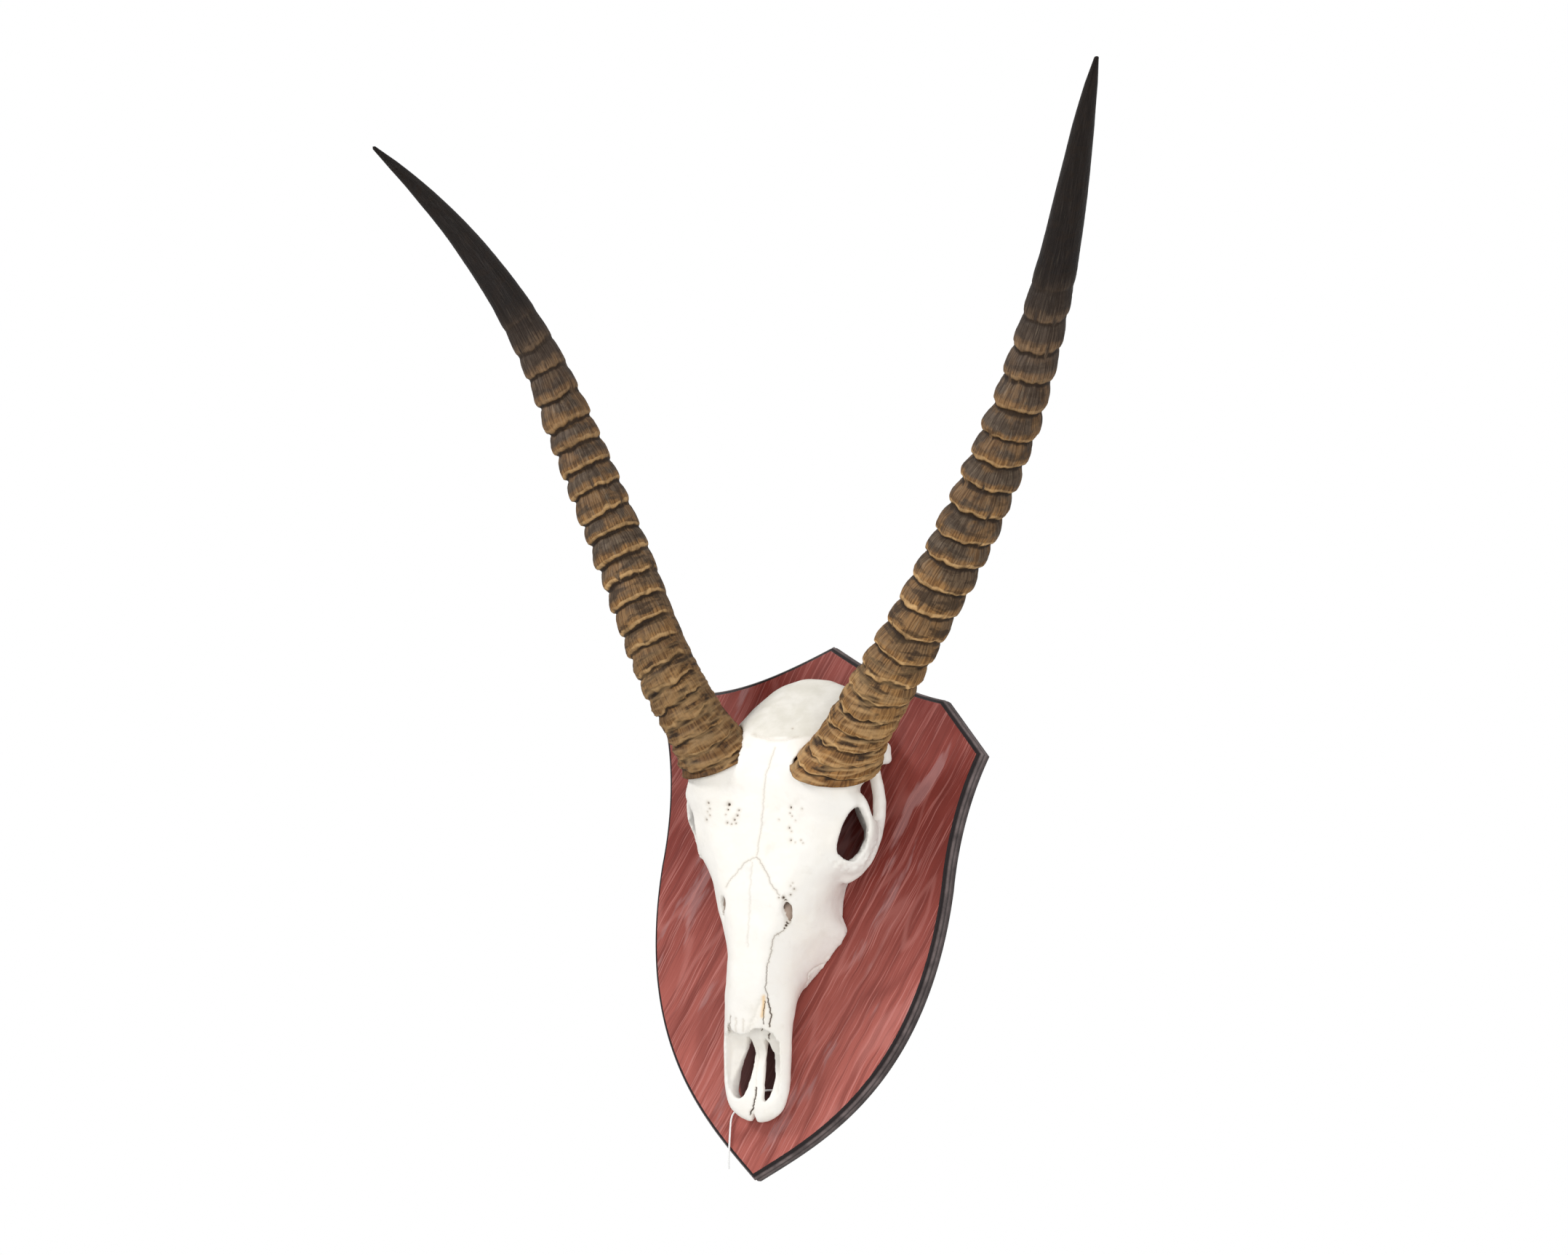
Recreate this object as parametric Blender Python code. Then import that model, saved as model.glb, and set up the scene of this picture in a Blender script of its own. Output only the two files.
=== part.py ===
"""Gazelle horns on their skull, mounted on a shield-shaped wooden board.

Metres, +Z up. The board's back is the plane Y = 0 and lies against the wall; its front faces -Y.
X runs across the board, and the origin is the middle of the back, halfway up the board.
Most places are given as (across, forward, height): metres to the side of the middle line, in front
of the board's face, and above the board's lower tip.
"""

import math
import random

import bmesh
import bpy
from mathutils import Matrix, Vector

MM = 0.001
GAP = 0.0003

# Board
BOARD_HEIGHT = 0.350
BOARD_THICKNESS = 0.012
BOARD_TIP = (0.0, 0.0)
BOARD_WAIST = (0.1085, 0.195)
BOARD_WING = (0.1208, 0.2829)
BOARD_SHOULDER = (0.0891, 0.3160)
BOARD_APEX = (0.0, BOARD_HEIGHT)
# Routed edge: how far each step stands outside the front face, and its depth behind that face
BOARD_STEPS = (
    (0.0, 0.0),
    (0.0022, 0.0035),
    (0.0012, 0.0041),
    (0.0012, 0.0051),
    (0.0022, 0.0057),
    (0.0022, BOARD_THICKNESS),
)
# Points on the curves of the board's outline: tip to waist, waist to wing, shoulder to apex
BOARD_POINTS = (11, 5, 5)
ORIGIN_HEIGHT = BOARD_HEIGHT / 2
HANGING_HOLE_RADIUS = 0.004
HANGING_HOLE_DEPTH = 0.008
HANGING_HOLE_HEIGHT = 0.300

# Horns: places along the axis of the horn on the +X side, in millimetres, from base to tip
HORN_AXIS = (
    (44.5, 46.5, 261),
    (76, 62, 304),
    (100, 70, 343),
    (124, 77, 387),
    (147, 89, 431),
    (168, 103, 473),
    (187, 122, 515),
    (207, 149, 554),
    (228, 184, 588),
    (247, 218, 612),
    (265, 249, 630),
)
# Mean radius in millimetres at a share of the horn's length
HORN_RADIUS = (
    (0.00, 25.4),
    (0.03, 22.6),
    (0.06, 20.4),
    (0.12, 19.8),
    (0.22, 18.6),
    (0.32, 18.2),
    (0.42, 17.2),
    (0.51, 15.9),
    (0.61, 14.2),
    (0.71, 12.4),
    (0.80, 9.9),
    (0.90, 6.4),
    (0.96, 3.6),
    (0.995, 1.3),
)
HORN_LONG = 1.06
HORN_SHORT = 0.95
HORN_TURN = math.radians(-15)
HORN_SIDES = 16
RING_TILT = 0.20
RING_COUNT = 21
RING_FADE_FROM = 16
RING_FIRST = 0.0055
RING_CLOSE = 0.0127
RING_PITCH_BASE = 0.0100
RING_PITCH_TOP = 0.0172
RING_PITCH_REACH = 0.090
RING_SWELL = 0.0022
RING_DROP = 0.0025
HORN_TIP_STATIONS = 9
AXIS_STEP = 0.002
VIEW_FRONT = Vector((0.0, -1.0, 0.0))
# Facing direction of the flat base of the horn on the +X side, and how far up the ridges follow it
SEAT_FACING = (0.23, -0.585, 0.778)
SEAT_REACH = 0.080
SEAT_DEPTH = 0.012
SEAT_INSET = 0.0016

# Skull cross-sections, in millimetres: height above the board's tip, how far the middle line stands
# forward, then (across, forward) of the brow, of the side, and of the foot
SKULL_SECTIONS = (
    (33, 9.5, (3, 9.3), (5, 7.5), (4, 5.0)),
    (36, 11.0, (8, 11), (13, 8.5), (10, 4)),
    (41, 12.5, (13, 13), (19.5, 9.5), (15, 3.6)),
    (48, 13.5, (16, 15), (23, 11), (18.5, 3.6)),
    (60, 17, (18, 19), (24.6, 13), (19.5, 3.6)),
    (72, 25, (17.5, 23.5), (25, 16), (18.5, 3.6)),
    (84, 32.5, (16, 29.5), (25, 18.5), (16.5, 3.6)),
    (96, 36.5, (14.5, 34.5), (25, 21), (15, 3.6)),
    (110, 40.5, (14, 38.5), (25.5, 23.5), (15, 3.4)),
    (122, 43.5, (14, 41.5), (26, 24), (20, 2)),
    (134, 45.5, (14, 43.5), (26.5, 26), (29.5, 0)),
    (143, 46.8, (15, 45), (28, 28), (34.5, 0)),
    (151, 47.8, (17, 46.5), (31.5, 29), (40.5, 0)),
    (159, 48.8, (19, 47.5), (35, 30), (45.5, 0)),
    (164, 49.5, (21, 48.5), (37, 31), (45, 0)),
    (170, 50.5, (23, 49.5), (38.5, 32), (40.5, 0)),
    (180, 52, (26, 51), (41.5, 33), (38.5, 0)),
    (192, 53.3, (31, 52), (48, 35), (39.5, 0)),
    (203, 54, (36, 53.5), (59.5, 31), (44, 0)),
    (213, 54.5, (40, 54.5), (66, 31), (48, 0)),
    (225, 56, (43, 57), (70.5, 33.5), (50, 0)),
    (235, 57.5, (44, 61.5), (68, 41), (42, 0)),
    (245, 58.5, (43, 65.5), (63, 45), (38, 0)),
    (254, 58.5, (37, 64), (58, 44), (37, 0)),
    (262, 58, (31, 60), (54, 41), (39, 0)),
    (270, 57, (29, 54), (51, 36), (43, 0)),
    (278, 54, (28, 49.5), (50, 30), (47.5, 0)),
    (288, 47, (29, 44), (50, 22), (50, 0)),
    (300, 38, (25, 35), (43.5, 19), (44, 0)),
    (312, 28, (20, 25.5), (34, 16.5), (34, 0)),
    (321, 19, (13, 18), (23, 13.5), (23, 0)),
    (326, 14, (5, 13.6), (9, 12), (9, 0)),
)
SECTION_STEP = 0.004
SECTION_POINTS = 9
BONE_WALL = 0.0045
BONE_VOXEL = 0.0021
BONE_RATIO = 0.042
HOLLOW_STEP = 0.011
HOLLOW_POINTS = 5
HOLLOW_ENDS = (0.118, 0.316)

# Eye sockets, in millimetres: the middle line of the raised rim, then the edge of the opening
SOCKET_RIM_PATH = (
    (63.5, 43.5, 243),
    (67.5, 38, 234),
    (68, 32, 223),
    (64, 29, 213),
    (60.5, 26.5, 204.5),
    (55.5, 30, 199.5),
    (50, 41, 202.5),
    (51.5, 46.5, 214),
    (54.5, 48.5, 228),
    (58.5, 47, 239),
)
SOCKET_EDGE = (
    (64, 43.5, 236),
    (65, 37, 230),
    (63, 31.5, 221),
    (60, 28.5, 212),
    (57.5, 32, 204),
    (53, 42, 206),
    (54, 46, 216),
    (58, 46.5, 228),
)
SOCKET_FACING = (0.73, 0.68)
SOCKET_RIM = 0.0030
# Depth below the edge in millimetres, and the width there as a share of the edge's own
SOCKET_BOWL = ((-7, 1.30), (0, 1.0), (6, 0.86), (16, 0.80))
LOOP_STEPS = 3

# Cheek arch: its path in millimetres and its radius
CHEEK_ARCH = (
    (46, 20, 192),
    (55, 18, 200),
    (61, 17, 209),
    (63.5, 16, 222),
    (63.5, 15, 236),
    (61, 14, 248),
    (57, 13, 258),
    (52, 12, 268),
    (46, 12, 278),
)
CHEEK_RADIUS = 0.0046
EAR_KNOBS = (((57, 11, 281), 6.0), ((59, 9, 275), 4.5))

# Openings of the snout and the cheek
SLOT_DEPTHS = (0.004, 0.020)
SLOT_OUTLINE = (
    (4.5, 87), (8, 82), (12.5, 73), (15.5, 63), (16.3, 55), (14.5, 49), (11, 46.5), (8, 48.5), (5.5, 58),
    (4.2, 70),
)
# Hollows of the nose and of the palate in millimetres: height, half width, floor and roof
NOSE_HOLLOW = (
    (44, 11, 16, 40),
    (52, 18.5, 13, 44),
    (64, 20, 12.5, 50),
    (84, 20, 12.5, 50),
    (86, 18, 12.5, 31),
    (110, 17, 12.5, 34),
    (126, 16, 6, 37),
)
# Edge of the nose bones and slit between the snout's tips, as (across, height)
NOSE_EDGE = ((19.5, 83), (18.5, 88), (12, 98.5), (5, 95.5), (0, 90.5))
NOSE_EDGE_DEPTHS = (0.022, 0.050)
SNOUT_SLIT = ((1.7, 30), (0.5, 41))
SNOUT_SLIT_DEPTHS = (-0.004, 0.020)
PALATE_HOLLOW = (
    (42, 9, -2, 8),
    (50, 16.5, -2, 9),
    (66, 19, -2, 9.5),
    (90, 16, -2, 10),
    (119, 14, -2, 10),
)
CHEEK_SLIT = (0.0245, 0.0500, 0.1720)
CHEEK_SLIT_HALF = (0.0026, 0.016, 0.0085)

# Thread: its route in millimetres, from under the snout to its free end
THREAD_RADIUS = 0.0006
THREAD_STEP = 0.0036
THREAD_ROUTE = (
    (15, 1.8, 56.5),
    (10, 1.8, 55.8),
    (6, 1.8, 55.2),
    (1, 1.8, 54.4),
    (-4, 1.8, 51.5),
    (-9, 1.8, 47.6),
    (-14, 1.8, 43.5),
    (-18, 1.9, 40),
    (-20.6, 2, 36.5),
    (-21.3, 2, 33),
    (-21.2, 1.9, 29),
    (-20.9, 1.7, 25),
    (-20.6, 1.5, 21),
    (-20.2, 1.3, 17),
    (-19.9, 1.1, 13),
    (-19.7, 0.6, 9),
    (-19.6, -0.4, 5),
    (-19.6, -1.6, 2),
)


def clear_scene():
    for thing in list(bpy.data.objects):
        bpy.data.objects.remove(thing, do_unlink=True)


def make_material(name, colour, roughness):
    material = bpy.data.materials.new(name)
    material.use_nodes = True
    shader = material.node_tree.nodes["Principled BSDF"]
    shader.inputs["Base Color"].default_value = (*colour, 1.0)
    shader.inputs["Roughness"].default_value = roughness
    shader.inputs["Metallic"].default_value = 0.0
    return material


def place(across, forward, height):
    """World point for a place given from the board's face and tip."""
    return Vector((across, -(BOARD_THICKNESS + forward), height - ORIGIN_HEIGHT))


def place_mm(point):
    return place(point[0] * MM, point[1] * MM, point[2] * MM)


def add_object(name, bm, material=None, smooth_angle=None):
    """Wrap a bmesh in an object whose faces point outwards."""
    bmesh.ops.recalc_face_normals(bm, faces=bm.faces)
    mesh = bpy.data.meshes.new(name)
    bm.to_mesh(mesh)
    bm.free()
    thing = bpy.data.objects.new(name, mesh)
    bpy.context.scene.collection.objects.link(thing)
    if material:
        mesh.materials.append(material)
    if smooth_angle:
        mesh.shade_smooth()
        mesh.set_sharp_from_angle(angle=smooth_angle)
    return thing


def bezier(start, handle_a, handle_b, end, count):
    """Points of one cubic curve, without its last one."""
    points = []
    for index in range(count):
        t = index / count
        weights = ((1 - t) ** 3, 3 * (1 - t) ** 2 * t, 3 * (1 - t) * t * t, t ** 3)
        corners = (start, handle_a, handle_b, end)
        points.append(tuple(sum(w * c[axis] for w, c in zip(weights, corners)) for axis in (0, 1)))
    return points


def through(values, share):
    """Smooth curve through evenly numbered values, read at a share from 0 to 1."""
    last = len(values) - 1
    position = min(max(share, 0.0), 1.0) * last
    index = min(int(position), last - 1)
    t = position - index
    before = values[max(index - 1, 0)]
    here = values[index]
    after = values[index + 1]
    beyond = values[min(index + 2, last)]
    return tuple(
        0.5 * (2 * h + (a - b) * t + (2 * b - 5 * h + 4 * a - c) * t * t + (3 * h - b - 3 * a + c) * t ** 3)
        for b, h, a, c in zip(before, here, after, beyond)
    )


def lookup(pairs, value):
    """Value between the two nearest rows of a table of (position, value)."""
    for (low, low_value), (high, high_value) in zip(pairs, pairs[1:]):
        if value <= high:
            share = max(0.0, (value - low) / (high - low))
            return low_value + (high_value - low_value) * share
    return pairs[-1][1]


def even_points(points, step):
    """Points a step apart along a smooth curve through the given ones."""
    fine = [Vector(through(points, index / 600)) for index in range(601)]
    lengths = [0.0]
    for before, after in zip(fine, fine[1:]):
        lengths.append(lengths[-1] + (after - before).length)
    count = max(2, round(lengths[-1] / step))
    picked = []
    cursor = 0
    for index in range(count + 1):
        target = lengths[-1] * index / count
        while cursor < len(lengths) - 2 and lengths[cursor + 1] < target:
            cursor += 1
        span = lengths[cursor + 1] - lengths[cursor]
        picked.append(fine[cursor].lerp(fine[cursor + 1], (target - lengths[cursor]) / span if span else 0.0))
    return picked


def skin_rings(bm, rings, closed=False):
    """Join rings of equal length with faces, and close the two ends unless they join up."""
    made = [[bm.verts.new(point) for point in ring] for ring in rings]
    pairs = list(zip(made, made[1:]))
    if closed:
        pairs.append((made[-1], made[0]))
    for low, high in pairs:
        for index in range(len(low)):
            following = (index + 1) % len(low)
            bm.faces.new((low[index], low[following], high[following], high[index]))
    if not closed:
        bm.faces.new(list(reversed(made[0])))
        bm.faces.new(made[-1])


def tube(bm, points, radii, sides, closed=False):
    """Round tube of changing radius along a path."""
    rings = []
    count = len(points)
    for index, point in enumerate(points):
        if closed:
            heading = points[(index + 1) % count] - points[index - 1]
        else:
            heading = points[min(index + 1, count - 1)] - points[max(index - 1, 0)]
        heading.normalize()
        side = heading.cross(Vector((0.0, 1.0, 0.0)))
        side.normalize()
        other = heading.cross(side)
        ring = []
        for turn in range(sides):
            angle = 2 * math.pi * turn / sides
            ring.append(point + (side * math.cos(angle) + other * math.sin(angle)) * radii[index])
        rings.append(ring)
    skin_rings(bm, rings, closed)


def ball(bm, centre, half_sizes, segments=16, rings=10):
    """Ellipsoid with given half sizes along X, Y and Z."""
    matrix = Matrix.Translation(centre) @ Matrix.Diagonal((*half_sizes, 1.0))
    bmesh.ops.create_uvsphere(bm, u_segments=segments, v_segments=rings, radius=1.0, matrix=matrix)


def prism(bm, outline, back, front):
    """Solid between two planes of Y with an outline of (X, Z) points."""
    skin_rings(bm, [[Vector((x, y, z)) for x, z in outline] for y in (back, front)])


def front_outline(points):
    """World (X, Z) points of an outline given in millimetres across and above the board's tip."""
    return [(x * MM, z * MM - ORIGIN_HEIGHT) for x, z in points]


def cutter_depths(depths):
    """World Y of the back and front of a cutter."""
    return [place(0, forward, 0).y for forward in depths]


def cut(target, name, bm):
    """Take a cutter away from the target."""
    cutter = add_object(name, bm)
    cutter.hide_render = True
    cutter.display_type = "WIRE"
    cutter.hide_set(True)
    boolean = target.modifiers.new(name, "BOOLEAN")
    boolean.object = cutter


def board_half_outline():
    """Right half of the board's front face, from tip to apex, as (across, height) points."""
    lower, middle, upper = BOARD_POINTS
    points = bezier(BOARD_TIP, (0.044, 0.0315), (0.1085, 0.0741), BOARD_WAIST, lower)
    points += bezier(BOARD_WAIST, (0.1072, 0.225), (0.1110, 0.255), BOARD_WING, middle)
    points += [BOARD_WING]
    points += bezier(BOARD_SHOULDER, (0.060, 0.320), (0.030, 0.334), BOARD_APEX, upper)
    points.append(BOARD_APEX)
    return points


def offset_outline(points, distance):
    """Half outline moved outwards by a distance, with both ends kept on the middle line."""
    mirrored_start = (-points[1][0], points[1][1])
    mirrored_end = (-points[-2][0], points[-2][1])
    padded = [mirrored_start] + points + [mirrored_end]
    moved = []
    for before, here, after in zip(padded, padded[1:], padded[2:]):
        first = Vector((here[0] - before[0], here[1] - before[1])).normalized()
        second = Vector((after[0] - here[0], after[1] - here[1])).normalized()
        normal = Vector((first.y + second.y, -first.x - second.x)).normalized()
        reach = distance / max(0.35, normal.dot(Vector((first.y, -first.x))))
        moved.append((here[0] + normal.x * reach, here[1] + normal.y * reach))
    return moved


def build_board(material):
    """One routed board: stepped edge, flat face and back, and a blind hole to hang it by."""
    half = board_half_outline()
    rings = []
    for outward, depth in BOARD_STEPS:
        moved = offset_outline(half, outward)
        right = [place(x, -depth, z) for x, z in moved]
        left = [place(-x, -depth, z) for x, z in reversed(moved[1:-1])]
        rings.append(right + left)
    bm = bmesh.new()
    skin_rings(bm, rings)
    board = add_object("plaque", bm, material)
    hole = bmesh.new()
    middle = place(0, 0, HANGING_HOLE_HEIGHT)
    middle.y = 0.0
    depth_both_ways = 2 * HANGING_HOLE_DEPTH
    turn = Matrix.Rotation(math.pi / 2, 4, "X")
    bmesh.ops.create_cone(
        hole, cap_ends=True, segments=16, radius1=HANGING_HOLE_RADIUS, radius2=HANGING_HOLE_RADIUS,
        depth=depth_both_ways, matrix=Matrix.Translation(middle) @ turn,
    )
    cut(board, "hanging_hole", hole)
    return board


def horn_axis():
    """Even points along the right horn's axis, the direction at each one, and the length."""
    points = even_points([tuple(place_mm(p)) for p in HORN_AXIS], AXIS_STEP)
    headings = []
    for index in range(len(points)):
        heading = points[min(index + 1, len(points) - 1)] - points[max(index - 1, 0)]
        headings.append(heading.normalized())
    length = sum((after - before).length for before, after in zip(points, points[1:]))
    return points, headings, length


def ring_places():
    """Arc lengths of the ridges, closer together near the base."""
    places = [RING_FIRST]
    while len(places) < RING_COUNT:
        share = min(1.0, max(0.0, places[-1] - RING_CLOSE) / RING_PITCH_REACH)
        places.append(places[-1] + RING_PITCH_BASE + (RING_PITCH_TOP - RING_PITCH_BASE) * share)
    return places


def horn_stations(length):
    """Arc length and ridge height of every ring of points, three for each ridge."""
    ridges = ring_places()
    stations = [(0.0, 0.35)]
    for index, ridge in enumerate(ridges):
        fade = 1.0 - max(0.0, (index - RING_FADE_FROM) / (RING_COUNT - RING_FADE_FROM))
        strength = (0.65 + 0.35 * min(1.0, index / 6)) * fade
        following = ridges[index + 1] if index + 1 < len(ridges) else ridge + RING_PITCH_TOP
        if index:
            stations.append((ridge - RING_DROP, 0.0))
        stations.append((ridge, strength))
        stations.append((ridge + 0.45 * (following - ridge), 0.45 * strength))
    start = stations[-1][0]
    for index in range(1, HORN_TIP_STATIONS + 1):
        share = index / HORN_TIP_STATIONS
        stations.append((start + (length * 0.995 - start) * (1 - (1 - share) ** 1.3), 0.0))
    return stations


def horn_ring(axis, arc, swell=0.0, sides=HORN_SIDES):
    """Ring of points at an arc length: level with the slanting seat near the base, then tilted forward."""
    points, headings, length = axis
    radius = lookup(HORN_RADIUS, arc / length) * MM
    facing = Vector(SEAT_FACING).normalized()
    toward_seat = max(0.0, 1.0 - max(arc, 0.0) / SEAT_REACH) ** 1.5
    base_heading = headings[0]
    ring = []
    for turn in range(sides):
        angle = 2 * math.pi * turn / sides
        oval = math.hypot(HORN_LONG * math.cos(angle - HORN_TURN), HORN_SHORT * math.sin(angle - HORN_TURN))
        reach = radius * oval + swell * (0.75 + 0.25 * math.cos(angle))
        front = (VIEW_FRONT - base_heading * VIEW_FRONT.dot(base_heading)).normalized()
        spoke = front * math.cos(angle) + front.cross(base_heading) * math.sin(angle)
        seat_shift = -reach * spoke.dot(facing) / base_heading.dot(facing)
        tilt_shift = -RING_TILT * reach * math.cos(angle)
        here = arc + seat_shift * toward_seat + tilt_shift * (1 - toward_seat)
        position = min(max(here, 0.0), length) / length * (len(points) - 1)
        index = min(int(position), len(points) - 2)
        heading = headings[index].lerp(headings[index + 1], position - index).normalized()
        centre = points[index].lerp(points[index + 1], position - index)
        centre = centre + heading * (here - min(max(here, 0.0), length))
        front = (VIEW_FRONT - heading * VIEW_FRONT.dot(heading)).normalized()
        side = front.cross(heading)
        ring.append(centre + (front * math.cos(angle) + side * math.sin(angle)) * reach)
    return ring


def mirror_rings(rings):
    return [[Vector((-point.x, point.y, point.z)) for point in ring] for ring in rings]


def build_horn(name, material, seed, mirrored):
    """One horn: an oval sweep with ridges whose lower edge stands out, tapering to a smooth tip."""
    axis = horn_axis()
    chance = random.Random(seed)
    rings = []
    for arc, strength in horn_stations(axis[2]):
        uneven = 1.0 + (chance.random() - 0.5) * 0.35
        rings.append(horn_ring(axis, arc, RING_SWELL * strength * uneven))
    bm = bmesh.new()
    skin_rings(bm, mirror_rings(rings) if mirrored else rings)
    return add_object(name, bm, material, math.radians(50))


def section_values():
    """Each skull section as one flat row of metres."""
    rows = []
    for height, crown, brow, side, foot in SKULL_SECTIONS:
        rows.append([value * MM for value in (height, crown, *brow, *side, *foot)])
    return rows


def section_at(rows, height):
    """Skull section at a height, read smoothly between its neighbours."""
    for index in range(len(rows) - 1):
        if height <= rows[index + 1][0]:
            break
    low, high = rows[index], rows[index + 1]
    before = rows[max(index - 1, 0)]
    after = rows[min(index + 2, len(rows) - 1)]
    span = high[0] - low[0]
    t = (height - low[0]) / span
    values = []
    for column in range(1, 8):
        slope_low = (high[column] - before[column]) / max(high[0] - before[0], 1e-6) * span
        slope_high = (after[column] - low[column]) / max(after[0] - low[0], 1e-6) * span
        values.append(
            (2 * t ** 3 - 3 * t * t + 1) * low[column] + (t ** 3 - 2 * t * t + t) * slope_low
            + (3 * t * t - 2 * t ** 3) * high[column] + (t ** 3 - t * t) * slope_high
        )
    return values


def skull_ring(values, height, steps, inset=0.0):
    """Closed ring of points of one skull section, pulled in by the bone's wall for its hollow."""
    crown, brow_x, brow_f, side_x, side_f, foot_x, foot_f = values
    corners = [
        (-brow_x, brow_f), (0.0, crown), (brow_x, brow_f), (side_x, side_f), (foot_x, foot_f),
        (foot_x * 2 - side_x, foot_f * 2 - side_f),
    ]
    half = [through(corners, (1 + 3 * step / steps) / (len(corners) - 1)) for step in range(steps + 1)]
    if inset:
        moved = [(0.0, crown - inset)]
        for before, here, after in zip(half, half[1:], half[2:]):
            along = Vector((after[0] - before[0], after[1] - before[1])).normalized()
            moved.append((max(0.0, here[0] + along.y * inset), here[1] - along.x * inset))
        moved.append((max(0.0, foot_x - inset), -2 * BONE_WALL))
        half = moved
    ring = [place(x, f, height) for x, f in half]
    ring += [place(-x, f, height) for x, f in reversed(half[1:])]
    return ring


def skull_loft(bm, low, high, pitch, steps, inset=0.0):
    rows = section_values()
    count = max(2, round((high - low) / pitch))
    rings = []
    for index in range(count + 1):
        height = low + (high - low) * index / count
        rings.append(skull_ring(section_at(rows, height), height, steps, inset))
    skin_rings(bm, rings)


def box_hollow(bm, rows):
    """Hollow lofted from rows of height, half width, floor and roof in millimetres."""
    rings = []
    for height, half_width, floor, roof in rows:
        middle = (floor + roof) / 2
        outline = (
            (-half_width, floor), (half_width, floor), (half_width, middle), (0.6 * half_width, roof),
            (-0.6 * half_width, roof), (-half_width, middle),
        )
        rings.append([place_mm((x, forward, height)) for x, forward in outline])
    skin_rings(bm, rings)


def loop_points(points, sign):
    """Smooth closed loop through places in millimetres, on the side given by the sign."""
    wrapped = [points[-1], *points, points[0], points[1]]
    picked = []
    for index in range(len(points) * LOOP_STEPS):
        across, forward, height = through(wrapped, (1 + index / LOOP_STEPS) / (len(points) + 2))
        picked.append(place_mm((sign * across, forward, height)))
    return picked


def socket_cutter(bm, sign):
    """Bowl of an eye socket: its edge, flared outwards in front and narrowing behind."""
    edge = loop_points(SOCKET_EDGE, sign)
    middle = sum(edge, Vector()) / len(edge)
    out_across, out_forward = SOCKET_FACING
    inwards = Vector((-sign * out_across, out_forward, 0.0)).normalized()
    rings = []
    for depth, share in SOCKET_BOWL:
        rings.append([middle.lerp(point, share) + inwards * depth * MM for point in edge])
    skin_rings(bm, rings)


def build_skull(material):
    """One bone shell: face, brain case, socket rims, cheek arches and horn seats, then its openings."""
    axis = horn_axis()
    bm = bmesh.new()
    skull_loft(bm, SKULL_SECTIONS[0][0] * MM, SKULL_SECTIONS[-1][0] * MM, SECTION_STEP, SECTION_POINTS)
    seat_low = horn_ring(axis, -SEAT_DEPTH)
    seat_top = horn_ring(axis, 0.0)
    middle = sum(seat_top, Vector()) / len(seat_top)
    shrink = 1.0 - SEAT_INSET / (HORN_RADIUS[0][1] * MM)
    seat = [seat_low, [middle.lerp(point, shrink) for point in seat_top]]
    for sign in (1, -1):
        rim = loop_points(SOCKET_RIM_PATH, sign)
        tube(bm, rim, [SOCKET_RIM] * len(rim), 8, closed=True)
        arch = even_points([tuple(place_mm((sign * x, f, z))) for x, f, z in CHEEK_ARCH], SECTION_STEP)
        tube(bm, arch, [CHEEK_RADIUS] * len(arch), 8)
        for (x, f, z), radius in EAR_KNOBS:
            ball(bm, place_mm((sign * x, f, z)), (radius * MM,) * 3)
        skin_rings(bm, seat if sign > 0 else mirror_rings(seat))
    skull = add_object("skull", bm, material, math.radians(60))

    remesh = skull.modifiers.new("grown_together", "REMESH")
    remesh.mode = "VOXEL"
    remesh.voxel_size = BONE_VOXEL
    smooth = skull.modifiers.new("weathered", "SMOOTH")
    smooth.factor = 0.5
    smooth.iterations = 5
    thin = skull.modifiers.new("faceted", "DECIMATE")
    thin.ratio = BONE_RATIO

    brain = bmesh.new()
    skull_loft(brain, *HOLLOW_ENDS, HOLLOW_STEP, HOLLOW_POINTS, BONE_WALL)
    cut(skull, "brain_hollow", brain)
    nose = bmesh.new()
    box_hollow(nose, NOSE_HOLLOW)
    cut(skull, "nose_hollow", nose)
    palate = bmesh.new()
    box_hollow(palate, PALATE_HOLLOW)
    cut(skull, "palate_hollow", palate)

    notch = bmesh.new()
    edge = list(NOSE_EDGE) + [(-x, z) for x, z in reversed(NOSE_EDGE[:-1])]
    prism(notch, front_outline(edge), *cutter_depths(NOSE_EDGE_DEPTHS))
    cut(skull, "nose_edge", notch)

    openings = bmesh.new()
    slit = list(SNOUT_SLIT) + [(-x, z) for x, z in reversed(SNOUT_SLIT)]
    prism(openings, front_outline(slit), *cutter_depths(SNOUT_SLIT_DEPTHS))
    for sign in (1, -1):
        outline = front_outline([(sign * x, z) for x, z in SLOT_OUTLINE])
        prism(openings, outline, *cutter_depths(SLOT_DEPTHS))
        across, forward, height = CHEEK_SLIT
        ball(openings, place(sign * across, forward, height), CHEEK_SLIT_HALF, segments=8, rings=6)
    cut(skull, "openings", openings)
    sockets = bmesh.new()
    for sign in (1, -1):
        socket_cutter(sockets, sign)
    cut(skull, "sockets", sockets)

    seats = bmesh.new()
    widen = 1.0 + 4 * GAP / (HORN_RADIUS[0][1] * MM)
    clear = []
    for arc in (-GAP, 0.012, 0.026, 0.040):
        ring = horn_ring(axis, arc, RING_SWELL)
        middle = sum(ring, Vector()) / len(ring)
        clear.append([middle.lerp(point, widen) for point in ring])
    skin_rings(seats, clear)
    skin_rings(seats, mirror_rings(clear))
    cut(skull, "horn_seats", seats)

    under = bmesh.new()
    low, high = -ORIGIN_HEIGHT, BOARD_HEIGHT - ORIGIN_HEIGHT
    corners = [(-BOARD_WING[0], low), (BOARD_WING[0], low), (BOARD_WING[0], high), (-BOARD_WING[0], high)]
    prism(under, corners, place(0, GAP, 0).y, place(0, -4 * BONE_WALL, 0).y)
    cut(skull, "flat_underside", under)
    return skull


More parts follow.
